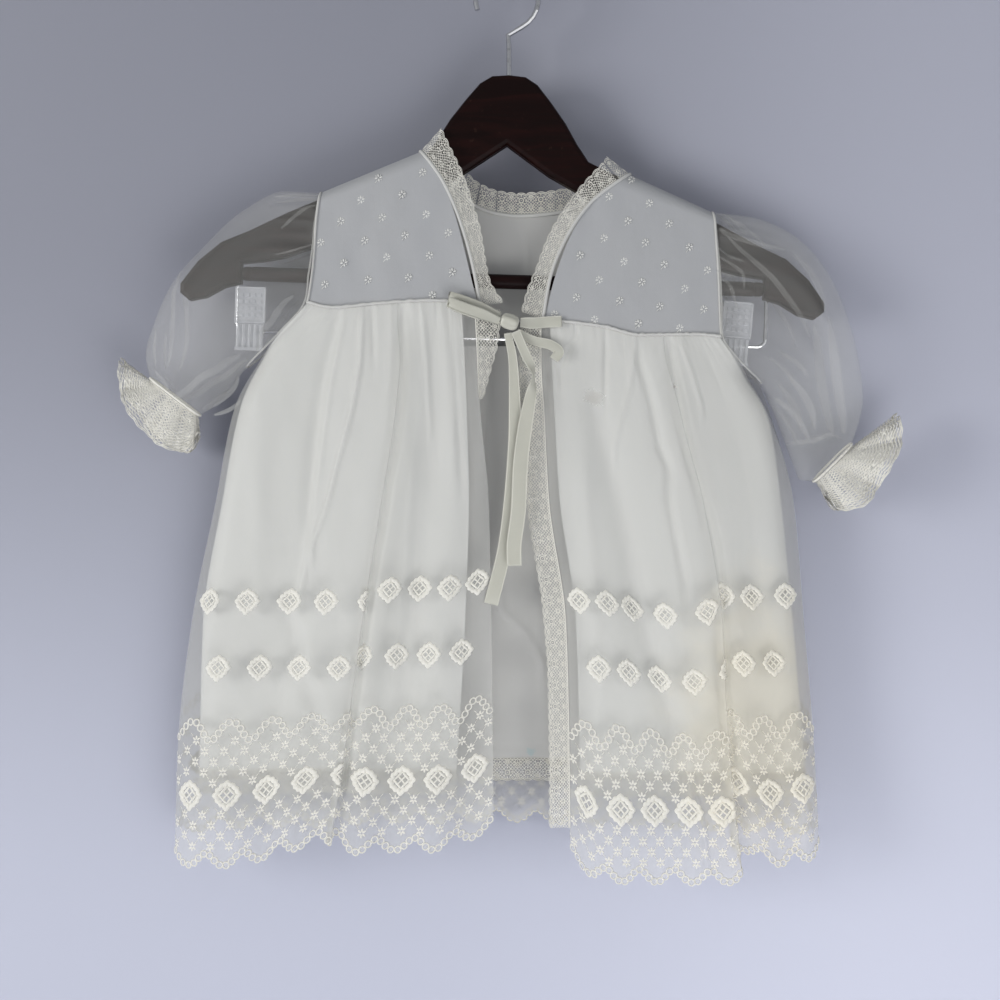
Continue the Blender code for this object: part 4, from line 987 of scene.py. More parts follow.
def build_skirts(settings):
    made = finishes()
    for name, panel in skirt_panels(settings).items():
        cloth = sheet_mesh(name.replace("skirt", "organza"), panel.points, made["organza"])
        dress(cloth, "organza", name)
        last = panel.columns[-1]
        work = border_work(int(last))
        threads = stitched(
            name.replace("skirt", "embroidery"), panel.surface, work, made["thread"],
        )
        dress(threads, "organza", name)


# Lace

REPEAT = 13.6


def lace_surface(sewn, free, side, ring=False, across=9, waving=0.5, seed=1):
    """A lace strip from its sewn edge to its free edge, with a scalloped free edge; lengths in millimetres."""
    sewn, free = np.asarray(sewn, float), np.asarray(free, float)
    middle = (sewn + free) / 2
    run = np.concatenate([[0], np.cumsum(np.linalg.norm(np.diff(middle, axis=0), axis=1))])
    steps = int(run[-1] / 1.1) + 1
    length = np.linspace(0, run[-1], steps)
    sewn = np.column_stack([np.interp(length, run, sewn[:, k]) for k in range(3)])
    free = np.column_stack([np.interp(length, run, free[:, k]) for k in range(3)])
    wide = np.linalg.norm(free - sewn, axis=1)
    widest = wide.max()
    count = max(round(run[-1] / REPEAT), 1)
    pitch = run[-1] / count
    loops = np.abs(np.sin(2 * math.pi * length / pitch)) ** 0.8
    share = np.linspace(0, 1, across)
    growth = 1 + (loops - 0.45) * 1.3 / np.maximum(wide, 4.0)
    points = np.zeros((across, steps, 3))
    chance = np.random.RandomState(seed)
    wave = sum(
        np.sin(length * 2 * math.pi / chance.uniform(9, 30) + chance.uniform(0, 6)) * chance.uniform(0.4, 1)
        for _ in range(5)
    )
    for r, s in enumerate(share):
        points[r] = sewn + (free - sewn) * (s * (1 + (growth - 1) * s))[:, None]
        points[r, :, 1] += waving * wave * s * 0.5
    return Surface(points, length, share * widest, side, ring), pitch, count, widest


def ring_flower(centre, size):
    """A ring with a dot in it and eight petals round it."""
    petals = [leaf(math.radians(a), 2.1 * size, 1.15 * size, 0.85 * size, 0.35) for a in range(0, 360, 45)]
    flower = joined(
        stroke(circle(1.35 * size, 12), 0.7, 0.4, True), leaf(0, -0.4, 0.8, 0.7, 0.3), *petals,
    )
    return moved(flower, 1.0, centre)


def net_threads(pitch, wide, centres):
    """The thick diagonal threads of the ground, left open round the flowers."""
    parts = []
    cell = pitch / 6
    rows = int(wide / cell) + 1
    for row in range(rows):
        for column in range(-3, 3):
            for way in (0, 1):
                x0, x1 = (column + way) * cell, (column + 1 - way) * cell
                y0, y1 = -row * cell, -(row + 1) * cell
                middle = np.array([(x0 + x1) / 2, (y0 + y1) / 2])
                if -y1 > wide - 0.6 or any(np.hypot(*(middle - c)) < 2.1 * size for c, size in centres):
                    continue
                beside = np.array([y0 - y1, x1 - x0]) / math.hypot(x1 - x0, y1 - y0) * 0.17
                corners = [
                    (x0 - beside[0], y0 - beside[1], 0.1), (x0 + beside[0], y0 + beside[1], 0.1),
                    (x1 + beside[0], y1 + beside[1], 0.1), (x1 - beside[0], y1 - beside[1], 0.1),
                ]
                parts.append((np.array(corners), [(0, 1, 2, 3)]))
    return parts


def lace_work(pitch, count, wide):
    """Ring flowers in two staggered rows, the ground round them, edge loops and the sewn edge."""
    half = pitch / 2
    centres = [(np.array([-half / 2, -wide * 0.66]), 1.15), (np.array([half / 2, -wide * 0.33]), 0.85)]
    if wide > 12:
        centres += [(np.array([half / 2, -wide * 0.80]), 0.7), (np.array([-half / 2, -wide * 0.22]), 0.7)]
    flowers = [ring_flower(c, size) for c, size in centres]
    turn = np.linspace(0, math.pi, 8)
    edges = []
    for middle in (-half / 2, half / 2):
        for inset, width in ((0.7, 0.8), (1.8, 0.6)):
            loop = np.column_stack([middle - half / 2 * np.cos(turn), -(wide - inset) - 0.7 * np.sin(turn)])
            edges.append(stroke(loop, width, 0.45))
    sewn = [
        stroke([(-half, -0.5), (0, -0.5), (half, -0.5)], 1.0, 0.45),
        stroke([(-half, -1.7), (0, -1.7), (half, -1.7)], 0.5, 0.3),
    ]
    repeat = joined(*flowers, *edges, *sewn, *net_threads(pitch, wide, centres))
    places = (np.arange(count) + 0.5) * pitch
    return [(repeat, places, np.zeros(count))]


def lace_piece(name, node, sewn, free, side, ring=False, waving=0.5, seed=1):
    made = finishes()
    surface, pitch, count, wide = lace_surface(sewn, free, side, ring, waving=waving, seed=seed)
    net = dress(sheet_mesh(name + "_net", surface.points, made["net"]), "lace", node)
    threads = stitched(name + "_threads", surface, lace_work(pitch, count, wide), made["lace"], lift=0.05)
    dress(threads, "lace", node)


def shoulder_depth(distance):
    """How far the cloth stands out from the shoulder line, a distance below it."""
    t = np.clip(np.asarray(distance, float) / SHOULDER_ROLL, 0.0, 1.0)
    return SEAM_PLANE + (YOKE_DEPTH - SEAM_PLANE) * np.sqrt(1 - (1 - t) ** 2)


def columns_of(rows, finer):
    """The table's columns read at evenly spaced finer rows."""
    at = np.linspace(0, len(rows) - 1, finer)
    return [smooth(np.arange(len(rows)), [row[k] for row in rows], at) for k in range(len(rows[0]))]


def build_neck_laces(settings):
    for name, rows, yoke, hand in (
        ("lace_neck_left", LEFT_NECK_LACE, LEFT_YOKE, 1), ("lace_neck_right", RIGHT_NECK_LACE, RIGHT_YOKE, -1),
    ):
        share, free_x, free_z = columns_of(rows, 60)
        shares = [r[0] for r in yoke]
        sewn_x = smooth(shares, [row[3] for row in yoke], share) + hand * EDGE_GAP * 0.2
        sewn_z = smooth(shares, [row[4] for row in yoke], share)
        y = -shoulder_depth(yoke[0][4] - sewn_z) - 0.3
        sewn = np.column_stack([sewn_x, y, sewn_z])
        free = np.column_stack([free_x, y, free_z])
        lace_piece(name.replace("lace", "trim"), name, sewn, free, -1, seed=5 + hand)
        bound = tube_piece(name.replace("lace", "binding"), sewn + (-hand * 0.3, 0.2, 0), 1.15, finishes()["binding"])
        dress(bound, "lace", name)
    sewn_x, sewn_z, free_x, free_z = columns_of(BACK_NECK_LACE, 60)
    y = np.full(60, YOKE_DEPTH - 0.4)
    lace_piece(
        "trim_neck_back", "lace_neck_back", np.column_stack([sewn_x, y, sewn_z]),
        np.column_stack([free_x, y, free_z]), -1, seed=9,
    )
    below = np.column_stack([sewn_x, y - 0.2, sewn_z - 0.6])
    dress(tube_piece("binding_neck_back", below, 1.3, finishes()["binding"]), "lace", "lace_neck_back")


def build_front_laces(settings):
    skirts = skirt_panels(settings)
    for name, rows, panel, column, hand in (
        ("lace_front_left", LEFT_FRONT_LACE, "skirt_front_left", -1, 1),
        ("lace_front_right", RIGHT_FRONT_LACE, "skirt_front_right", 0, -1),
    ):
        edge = skirts[panel].points[::-1, column]
        z, width = columns_of(rows, 120)
        sewn_x = np.interp(z, edge[:, 2], edge[:, 0]) - hand * 0.4
        y = np.interp(z, edge[:, 2], edge[:, 1]) - 0.35
        sewn = np.column_stack([sewn_x, y, z])
        free = np.column_stack([sewn_x + hand * (width + 0.4), y, z])
        lace_piece(name.replace("lace", "trim"), name, sewn, free, -1, waving=0.7, seed=12 + hand)


# Linings

LININGS = (
    ("lining_front_left", LINING_HEIGHTS, LEFT_LINING, LEFT_SEAM, (LEFT_UNDERARM_Z, None), -1, LEFT_CREASES, 51),
    (
        "lining_front_right", RIGHT_LINING_HEIGHTS, RIGHT_LINING, RIGHT_SEAM, (None, RIGHT_UNDERARM_Z), -1,
        RIGHT_CREASES, 53,
    ),
    (
        "lining_back", BACK_LINING_HEIGHTS, BACK_LINING, BACK_SEAM, (LEFT_UNDERARM_Z, RIGHT_UNDERARM_Z), 1,
        BACK_CREASES, 57,
    ),
)
BACK_LINING_CREASES = (
    (1.3, 2.2, ((-5.3, -421.6), (13.2, -438.7), (23.8, -458.5))),
    (0.9, 3.5, ((4, -250), (2, -330), (-6, -410))),
)


def build_linings(settings):
    made = finishes()
    for name, heights, edges, seam, underarms, side, creases, seed in LININGS:
        down = [-h for h in heights]
        levels = np.linspace(heights[0], heights[-1], 110)
        left = smooth(down, [e[0] for e in edges], -levels)
        right = smooth(down, [e[1] for e in edges], -levels)
        fall = (heights[0] - levels) / (heights[0] - heights[-1])
        share = np.linspace(0, 1, 150)
        x = left[:, None] + (right - left)[:, None] * share
        seam_z = smooth([p[0] for p in seam], [p[1] for p in seam], x)
        top = seam_z + 1.4 if side < 0 else np.full(x.shape, float(heights[0]))
        z = levels[:, None] + (top - heights[0]) * ((1 - fall) ** 2)[:, None]
        y = LINING_DEPTH + 1.6 * fall[:, None] * np.sin(9.0 * share + 0.4) + 1.4 * bump(seam_z - z, 12.0)
        soft = crease_depth(creases, x, z) * 0.9 + ripple_depth(x, z, seed, 18, 24, 90) * 0.5
        soft += gather_depth(np.broadcast_to(share, x.shape), seam_z - z, right[0] - left[0], seed) * 0.6
        if side > 0:
            soft -= crease_depth(BACK_LINING_CREASES, x, z)
        y = y + soft * ease((seam_z - z) / 14)
        for inward, underarm in ((x - left[:, None], underarms[0]), (right[:, None] - x, underarms[1])):
            if underarm is None:
                continue
            closing = ease((seam_z - z) / (seam_z - underarm)) ** 3
            arc = np.sqrt(np.maximum(1.004 - (1 - inward / LINING_ROUND) ** 2, 0))
            closed = y * (1 - closing * (1 - np.minimum(arc, 1)))
            y = np.where(inward < LINING_ROUND, closed, y)
        points = np.stack([x, side * y, z], axis=2)
        surface = Surface(points, share, levels[0] - levels, side)
        points = points + surface.normals * (0.5 * bump(levels - levels[-1] - 7.0, 0.9))[:, None, None]
        # The back lining takes its darker copy of the lining, painted shade for the inside of the coat
        finish = made["back_lining" if side > 0 else "lining"]
        cloth = dress(sheet_mesh(name.replace("lining", "plain_lining"), points, finish), "lining", name)
        sewn = points[-1] + (0, 0, 0.6)
        free = sewn + (0, 0, -LINING_LACE_DROP)
        free[:, 1] += side * 0.6
        lace_name = name.replace("lining", "lining_lace")
        lace_piece(name.replace("lining", "hem_lace"), lace_name, sewn, free, side, seed=seed + 1)


# Yokes

def top_line(x, rows):
    return np.interp(x, sorted([rows[0][1], rows[0][3]]), [p[1] for p in sorted([rows[0][1:3], rows[0][3:5]])])


def inside(x, z, outline):
    """Which points lie inside an outline of x and z corners."""
    found = np.zeros(len(x), bool)
    for (ax, az), (bx, bz) in zip(outline, outline[1:] + outline[:1]):
        crosses = (az > z) != (bz > z)
        found ^= crosses & (x < (bx - ax) * (z - az) / ((bz - az) or 1e-9) + ax)
    return found


def sprig_places(outline, turned, start=(0.0, 0.0)):
    """Staggered places of the yoke's small flowers on cloth cut a little off the grain."""
    lean = math.radians(turned)
    middle = np.mean(np.array(outline), axis=0) + start
    rows, columns = np.meshgrid(np.arange(-14, 15), np.arange(-14, 15))
    across = (columns * 27.6 + (rows % 2) * 13.8).ravel()
    up = (rows * 13.3).ravel()
    xs = middle[0] + across * math.cos(lean) - up * math.sin(lean) + 0.7 * np.sin(across + 2.1 * up)
    zs = middle[1] + across * math.sin(lean) + up * math.cos(lean) + 0.7 * np.cos(1.7 * across + up)
    keep = np.ones(len(xs), bool)
    for dx, dz in ((3.4, 0), (-3.4, 0), (0, 3.8), (0, -3.8)):
        keep &= inside(xs + dx, zs + dz, outline)
    return xs[keep], zs[keep]


def yoke_flower():
    """Four slim petals with small knots between them and a short stalk."""
    petals = [leaf(math.radians(a), 0.5, 2.1, 1.25, 0.55) for a in (15, 100, 190, 280)]
    knots = [leaf(math.radians(a), 1.5, 1.0, 0.8, 0.35) for a in (55, 145, 325)]
    return joined(*petals, *knots, stroke([(-0.6, -1.6), (-1.6, -2.6), (-2.2, -3.4)], 0.55, 0.3))


def front_yoke(name, rows, seam, turned, settings):
    made = finishes()
    shares = [r[0] for r in rows]
    v = np.concatenate([np.linspace(0, 0.12, 14)[:-1], np.linspace(0.12, 1, 52)])
    arm_x, arm_z, neck_x, neck_z = (smooth(shares, [row[k] for row in rows], v) for k in range(1, 5))
    u = np.linspace(0, 1, 70)
    x = arm_x[:, None] + (neck_x - arm_x)[:, None] * u
    z = arm_z[:, None] + (neck_z - arm_z)[:, None] * u
    z += (smooth([p[0] for p in seam], [p[1] for p in seam], x) - z) * (v ** 3)[:, None]
    top = rows[0][2] + (rows[0][4] - rows[0][2]) * u
    soft = ripple_depth(x, z, 71, 14, 18, 60) * 0.35
    y = -shoulder_depth(top - z) - soft * ease(v / 0.3)[:, None] * ease((1 - v) / 0.1)[:, None]
    points = np.stack([x, y, z], axis=2)
    cloth = dress(sheet_mesh(name.replace("yoke", "yoke_cloth"), points, made["yoke"]), "organza", name)
    outline = [(points[0, k, 0], points[0, k, 2]) for k in (0, -1)]
    outline += [tuple(p) for p in points[:, -1, ::2]] + [tuple(p) for p in points[-1, ::-1, ::2]]
    outline += [tuple(p) for p in points[::-1, 0, ::2]]
    across = np.linspace(min(p[0] for p in outline), max(p[0] for p in outline), 60)
    down = np.linspace(120, 246, 70)
    plane_x, plane_z = np.meshgrid(across, -down)
    plane_y = -shoulder_depth(np.maximum(top_line(plane_x, rows) - plane_z, 0)) - 0.15
    plane = Surface(np.stack([plane_x, plane_y, plane_z], axis=2), across, down, -1)
    xs, zs = sprig_places(outline, turned)
    work = [(yoke_flower(), xs, zs)]
    flowers = stitched(name.replace("yoke", "yoke_flowers"), plane, work, made["sprig"])
    dress(flowers, "organza", name)
    armhole = points[:, 0] + (0, -0.4, 0)
    bound = tube_piece(name.replace("yoke", "armhole_edge"), armhole, 0.75, made["binding"])
    dress(bound, "organza", name)


def tube_piece(name, path, radius, finish, sides=8):
    """A thin tube along a path of points in millimetres; the radius may change along it."""
    path = np.asarray(path, float)
    along = np.gradient(path, axis=0)
    along /= np.maximum(np.linalg.norm(along, axis=1, keepdims=True), 1e-9)
    guide = np.where(np.abs(along[:, 1:2]) < 0.9, np.array([[0.0, 1.0, 0.0]]), np.array([[1.0, 0.0, 0.0]]))
    first = np.cross(along, guide)
    first /= np.linalg.norm(first, axis=1, keepdims=True)
    second = np.cross(along, first)
    turn = np.linspace(0, 2 * math.pi, sides, endpoint=False)
    radius = np.broadcast_to(np.asarray(radius, float), (len(path),))
    ring = first[:, None] * np.cos(turn)[None, :, None] + second[:, None] * np.sin(turn)[None, :, None]
    points = path[:, None] + ring * radius[:, None, None]
    faces = grid_faces(len(path), sides, True)
    faces += [tuple(range(sides))[::-1], tuple(range((len(path) - 1) * sides, len(path) * sides))]
    return add_mesh(name, points.reshape(-1, 3), faces, finish)


def back_yoke(settings):
    made = finishes()
    top_x, top_z, low_x, rolls = columns_of(BACK_YOKE, 150)
    v = np.concatenate([np.linspace(0, 0.12, 14)[:-1], np.linspace(0.12, 1, 40)])
    low_z = smooth([p[0] for p in BACK_SEAM], [p[1] for p in BACK_SEAM], low_x)
    x = top_x + (low_x - top_x) * v[:, None]
    z = top_z + (low_z - top_z) * v[:, None]
    rolled = shoulder_depth(top_z - z)
    y = YOKE_DEPTH + (rolled - YOKE_DEPTH) * np.round(rolls)
    soft = ripple_depth(x, z, 77, 14, 18, 60) * 0.35 - 0.8 * bump(x - 13.2, 1.6) * bump(z + 188, 16)
    y = y + soft * ease(v / 0.3)[:, None] * ease((1 - v) / 0.1)[:, None]
    points = np.stack([x, y, z], axis=2)
    # The back yoke takes the back lining's darker copy, painted shade for the inside of the coat
    cloth = dress(sheet_mesh("yoke_cloth_back", points, made["back_lining"]), "organza", "yoke_back")
    across = np.linspace(-131, 140, 130)
    down = np.linspace(120, 246, 60)
    plane_x, plane_z = np.meshgrid(across, -down)
    line = np.interp(plane_x, [p[0] for p in BACK_YOKE], [p[1] for p in BACK_YOKE])
    on_roll = (plane_x < -56) | (plane_x > 80)
    depth = np.where(on_roll, shoulder_depth(np.maximum(line - plane_z, 0)), YOKE_DEPTH)
    plane = Surface(np.stack([plane_x, depth + 0.15, plane_z], axis=2), across, down, 1)
    outline = [tuple(p) for p in points[0, ::3, ::2]] + [tuple(p) for p in points[:, -1, ::2]]
    outline += [tuple(p) for p in points[-1, ::-3, ::2]] + [tuple(p) for p in points[::-1, 0, ::2]]
    xs, zs = sprig_places(outline, 0.0, (4.0, 0.0))
    flowers = stitched("yoke_flowers_back", plane, [(yoke_flower(), xs, zs)], made["sprig"])
    dress(flowers, "organza", "yoke_back")


def build_yokes(settings):
    front_yoke("yoke_front_left", LEFT_YOKE, LEFT_SEAM, 5.0, settings)
    front_yoke("yoke_front_right", RIGHT_YOKE, RIGHT_SEAM, -6.0, settings)
    back_yoke(settings)
    made = finishes()
    for name, seam, ends in (
        ("seam_band_left", LEFT_SEAM, (-130.6, -18.0)), ("seam_band_right", RIGHT_SEAM, (24.5, 139.6)),
    ):
        x = np.linspace(*ends, 170)
        chance = np.random.RandomState(len(name))
        wobble = sum(
            np.sin(x * 2 * math.pi / chance.uniform(3.2, 12) + chance.uniform(0, 6)) for _ in range(6)
        ) / 6
        z = smooth([p[0] for p in seam], [p[1] for p in seam], x) + 0.7 + 0.25 * wobble
        path = np.column_stack([x, -11.8 - 0.15 * wobble, z])
        piped = tube_piece(name.replace("seam_band", "piped_seam"), path, 0.95 + 0.25 * wobble, made["binding"], 10)
        dress(piped, "lining", name)


# Sleeves

def ring_depth(w):
    return np.maximum(1 - np.abs(2 * w - 1) ** RING_POWER, 0) ** (1 / RING_POWER)


def pleats(turn, seed, count):
    """Uneven folds round a sleeve, from valleys of -1 to ridges of 1."""
    chance = np.random.RandomState(seed)
    total = np.zeros(turn.shape)
    for k in range(count):
        place = 2 * math.pi * (k + chance.uniform(-0.3, 0.3)) / count
        away = np.abs((turn - place + math.pi) % (2 * math.pi) - math.pi)
        total += chance.uniform(0.5, 1.0) * bump(away, math.pi / count * chance.uniform(0.35, 0.6))
    return total * 2 - 0.9


SLEEVES = (
    ("left", LEFT_SLEEVE, LEFT_BOW, LEFT_FRILL, LEFT_SLEEVE_FOLDS, -1, 81),
    ("right", RIGHT_SLEEVE, RIGHT_BOW, RIGHT_FRILL, RIGHT_SLEEVE_FOLDS, 1, 87),
)


def fold_bands(name, points, folds, finish, side):
    """Narrow tapered bands of doubled cloth, each with a rolled edge, laid on one face of a sleeve."""
    face = points[points[..., 1] * side > 0]
    parts, faces, first = [], [], 0
    for width, line in folds:
        line = np.array(line)
        count = 8 * len(line)
        at = np.linspace(0, len(line) - 1, count)
        x, z = (smooth(np.arange(len(line)), line[:, k], at) for k in (0, 1))
        along = np.gradient(np.column_stack([x, z]), axis=0)
        along /= np.linalg.norm(along, axis=1, keepdims=True)
        taper = np.sqrt(np.sin(np.linspace(0.12, math.pi - 0.12, count)))
        grid = []
        for share, out in ((0.0, 0.25), (0.10, 0.85), (0.22, 0.45), (0.6, 0.35), (1.0, 0.2)):
            px = x - along[:, 1] * width * share * taper
            pz = z + along[:, 0] * width * share * taper
            near = np.argmin((face[:, 0] - px[:, None]) ** 2 + (face[:, 2] - pz[:, None]) ** 2, axis=1)
            grid.append(np.column_stack([px, face[near, 1] + side * out, pz]))
        parts.append(np.stack(grid, axis=1).reshape(-1, 3))
        faces += grid_faces(count, len(grid), first=first)
        first += count * len(grid)
    return add_mesh(name, np.vstack(parts), faces, finish)


def build_sleeves(settings):
    made = finishes()
    for name, sections, bowing, frill, folds, hand, seed in SLEEVES:
        out_x, out_z, in_x, in_z, half, bow = (c[:, None] for c in columns_of(sections, 90))
        t = np.linspace(0, 1, 90)[:, None]
        turn = np.linspace(0, 2 * math.pi, 321)[None, :]
        w = 0.5 - 0.5 * np.cos(turn)
        front = np.where(turn < math.pi, -1, 1)
        share = smooth([b[0] for b in bowing], [b[1] for b in bowing], w)
        cap = np.exp(-t / 0.16) * pleats(turn, seed, 30) * 1.1
        long_folds = np.exp(-t / 0.5) * pleats(turn + 0.25 * t, seed + 1, 11) * 1.2
        cuff = np.exp(-(1 - t) / 0.13) * pleats(turn, seed + 2, 26) * 1.0
        body = np.sin(math.pi * t) * pleats(turn - 0.3 * t, seed + 3, 8) * 1.1
        fold = (cap + long_folds + cuff + body) * settings.sleeve_folds * ease(t / 0.03) * ease((1 - t) / 0.03)
        depth = np.maximum(half * ring_depth(w) + fold * (0.25 + 0.75 * ring_depth(w)), 0.2)
        points = np.stack([
            out_x + (in_x - out_x) * w - hand * bow * share,
            front * depth,
            np.broadcast_to(out_z + (in_z - out_z) * w, depth.shape),
        ], axis=2)
        points[:, -1] = points[:, 0]
        cloth = sheet_mesh(f"puff_sleeve_{name}", points, made["sleeve"])
        dress(cloth, "organza", f"sleeve_{name}")
        cap_edge = tube_piece(f"sleeve_seam_{name}", points[0], 0.7, made["organza"])
        dress(cap_edge, "organza", f"sleeve_{name}")
        band = tube_piece(f"cuff_gathers_{name}", points[-2], 0.9, made["lace"])
        dress(band, "organza", f"sleeve_{name}")
        doubled = [
            dress(fold_bands(f"sleeve_folds_{name}_{where}", points, folds, made["sleeve"], side), "organza", node)
            for where, side, node in (("front", -1, f"sleeve_{name}"), ("behind", 1, f"sleeve_{name}"))
        ]
        cuff_frill(name, sections[-1], frill, seed)


def cuff_frill(name, cuff, frill, seed):
    out_x, out_z, in_x, in_z, half, _ = cuff
    along = np.array([in_x - out_x, in_z - out_z])
    away = np.array([along[1], -along[0]]) / np.linalg.norm(along)
    if away[1] > 0:
        away = -away
    turn = np.linspace(0, 2 * math.pi, 289)
    w = 0.5 - 0.5 * np.cos(turn)
    near = np.array([out_x, out_z]) + w[:, None] * along + away * CUFF_GAP
    shares = [f[0] for f in frill]
    far = np.stack([smooth(shares, [f[k] for f in frill], w) for k in (1, 2)], axis=1)
    rings = []
    swing = 0.030 * np.sin(FRILL_WAVES * turn + 1.2) + 0.018 * np.sin(5 * turn)
    swung = np.stack([smooth(shares, [f[k] for f in frill], np.clip(w + swing, 0, 1)) for k in (1, 2)], axis=1)
    for t, edge in ((0.0, far), (1.0, swung)):
        place = near + (edge - near) * t
        wave = (FRILL_WAVE_DEPTH + 0.8) * t * np.sin(FRILL_WAVES * turn)
        y = -np.sin(turn) * (half + 6.0 * t) + wave * (0.35 + 0.65 * np.abs(np.sin(turn)))
        rings.append(np.column_stack([place[:, 0], y, place[:, 1]]))
    lace_piece(
        f"cuff_lace_{name}", f"cuff_frill_{name}", rings[0], rings[1], -1, waving=0.9, seed=seed + 4,
    )


# Ribbon

def build_ribbon(settings):
    made = finishes()
    for name, rows in RIBBONS.items():
        x, y, z, wide = columns_of(rows, (len(rows) - 1) * 12 + 1)
        path = np.column_stack([x, y, z])
        along = np.gradient(path, axis=0)
        across = np.cross(along, (0.0, 1.0, 0.0))
        across /= np.linalg.norm(across, axis=1, keepdims=True)
        facing = np.cross(across, along)
        facing /= np.linalg.norm(facing, axis=1, keepdims=True)
        roll = np.zeros(len(path))
        if name == "ribbon_tail_front":
            roll = math.radians(70) * bump(z + 270, 7.0)
        across = across * np.cos(roll)[:, None] + facing * np.sin(roll)[:, None]
        facing = np.cross(across, along)
        facing /= np.linalg.norm(facing, axis=1, keepdims=True)
        share = np.linspace(-0.5, 0.5, 9)
        run = np.arange(len(path))
        points = path[:, None] + across[:, None] * (wide[:, None] * share[None])[..., None]
        cup = 0.35 * np.cos(share * math.pi)[None] * np.sin(run * 0.16)[:, None]
        edge = 0.18 * bump(np.abs(share) - 0.45, 0.05)[None]
        points = points + facing[:, None] * (cup + edge)[..., None]
        normals = grid_normals(points)
        if np.mean(normals[..., 1]) > 0:
            normals = -normals
        strip = wall_mesh(name.replace("ribbon", "satin"), points, normals, 0.35, made["satin"])
        dress(strip, "satin", name)
    turn = np.linspace(0, 2 * math.pi, 49)[:-1]
    rise = np.linspace(-math.pi / 2, math.pi / 2, 25)
    radius = 1 + 0.09 * np.sin(5 * turn)[None] * np.cos(rise)[:, None]
    x = 6.0 * np.sign(np.sin(rise))[:, None] * np.abs(np.sin(rise))[:, None] ** 0.7 * np.ones((1, 48))
    y = 3.2 * np.cos(rise)[:, None] ** 0.6 * np.cos(turn)[None] * radius
    z = 4.9 * np.cos(rise)[:, None] ** 0.6 * np.sin(turn)[None] * radius
    lean = math.radians(20)
    points = np.stack([
        1.5 + x * math.cos(lean) + z * math.sin(lean), -18.6 + y, -234.5 - x * math.sin(lean) + z * math.cos(lean),
    ], axis=2)
    knot = add_mesh("satin_knot", points.reshape(-1, 3), grid_faces(25, 48, True), made["satin"])
    dress(knot, "satin", "ribbon_knot")


# Hanger

def tilted(x, drop, y=0.0):
    """Place, in millimetres, of a point of the hanger across and up from its apex."""
    c, s = math.cos(HANGER_TILT), math.sin(HANGER_TILT)
    return (x * c + drop * s, y, APEX_Z - x * s + drop * c)


def build_hanger(settings):
    made = finishes()
    for node, finish in (
        ("hanger_wood", "wood"), ("hanger_hook", "chrome"), ("hanger_rod", "chrome"),
    ):
        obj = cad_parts[node]
        for k in range(len(obj.material_slots)):
            obj.material_slots[k].material = made[finish]
    shape = ((0, 3.9), (1.5, 4.6), (5, 4.8), (6, 4.4), (7, 4.8), (120, 4.7), (171.6, 4.8))
    place = np.concatenate([np.linspace(0, 8, 33), np.linspace(9, 171.6, 30)])
    radius = np.interp(place, [s[0] for s in shape], [s[1] for s in shape])
    across = np.concatenate([place - 171.6, (171.6 - place)[::-1][1:]])
    radius = np.concatenate([radius, radius[::-1][1:]])
    path = [tilted(x, -89.5) for x in across]
    bar = tube_piece("trouser_bar", path, radius, made["wood"], 24)
    dress(bar, "dark_wood", "hanger_bar")
    for name, across, turned in (("clip_left", -165.5, 0.0), ("clip_right", 155.5, 3.0)):
        clip(name, across, math.radians(turned))


def clip(name, across, lean):
    """A moulded clip: a thin plate with a rim and small dots, and a fluted foot."""
    made = finishes()
    top = -98.5
    boxes = [((-10, 10), (-24, 0), (-3.6, -1.7))]
    boxes += [((-10, -8.7), (-24, 0), (-4.6, -3.6)), ((8.7, 10), (-24, 0), (-4.6, -3.6))]
    boxes += [((-10, 10), (-1.3, 0), (-4.6, -3.6)), ((-10, 10), (-24, -22.7), (-4.6, -3.6))]
    boxes += [((-9, 9), (-42, -24), (-3.2, -1.9))]
    boxes += [((x - 0.9, x + 0.9), (-41.6, -24.6), (-4.8, -3.2)) for x in np.linspace(-7.6, 7.6, 5)]
    boxes += [((-9.4, 9.4), (-42, -39.6), (-4.9, -1.9))]
    boxes += [
        ((x - 1.3, x + 1.3), (z - 1.3, z + 1.3), (-4.5, -3.6))
        for x in (-6, -2, 2, 6) for z in (-5.4, -9.8, -14.2, -18.6)
    ]
    mesh = bmesh.new()
    for (x0, x1), (z0, z1), (y0, y1) in boxes:
        corners = []
        for x, z, y in (
            (x0, z0, y0), (x1, z0, y0), (x1, z1, y0), (x0, z1, y0),
            (x0, z0, y1), (x1, z0, y1), (x1, z1, y1), (x0, z1, y1),
        ):
            px = across + x * math.cos(lean) + z * math.sin(lean)
            pz = top - x * math.sin(lean) + z * math.cos(lean)
            corners.append(mesh.verts.new(Vector(tilted(px, pz, y)) * MM))
        for face in ((0, 1, 2, 3), (7, 6, 5, 4), (0, 4, 5, 1), (1, 5, 6, 2), (2, 6, 7, 3), (3, 7, 4, 0)):
            mesh.faces.new([corners[k] for k in face])
    bmesh.ops.recalc_face_normals(mesh, faces=mesh.faces[:])
    bmesh.ops.bevel(mesh, geom=mesh.edges[:], offset=0.0003, segments=2, profile=0.5, affect="EDGES")
    data = bpy.data.meshes.new(name.replace("clip", "moulded_clip"))
    mesh.to_mesh(data)
    mesh.free()
    data.materials.append(made["plastic"])
    obj = bpy.data.objects.new(data.name, data)
    bpy.context.scene.collection.objects.link(obj)
    dress(obj, "clear_plastic", name)


# Stage

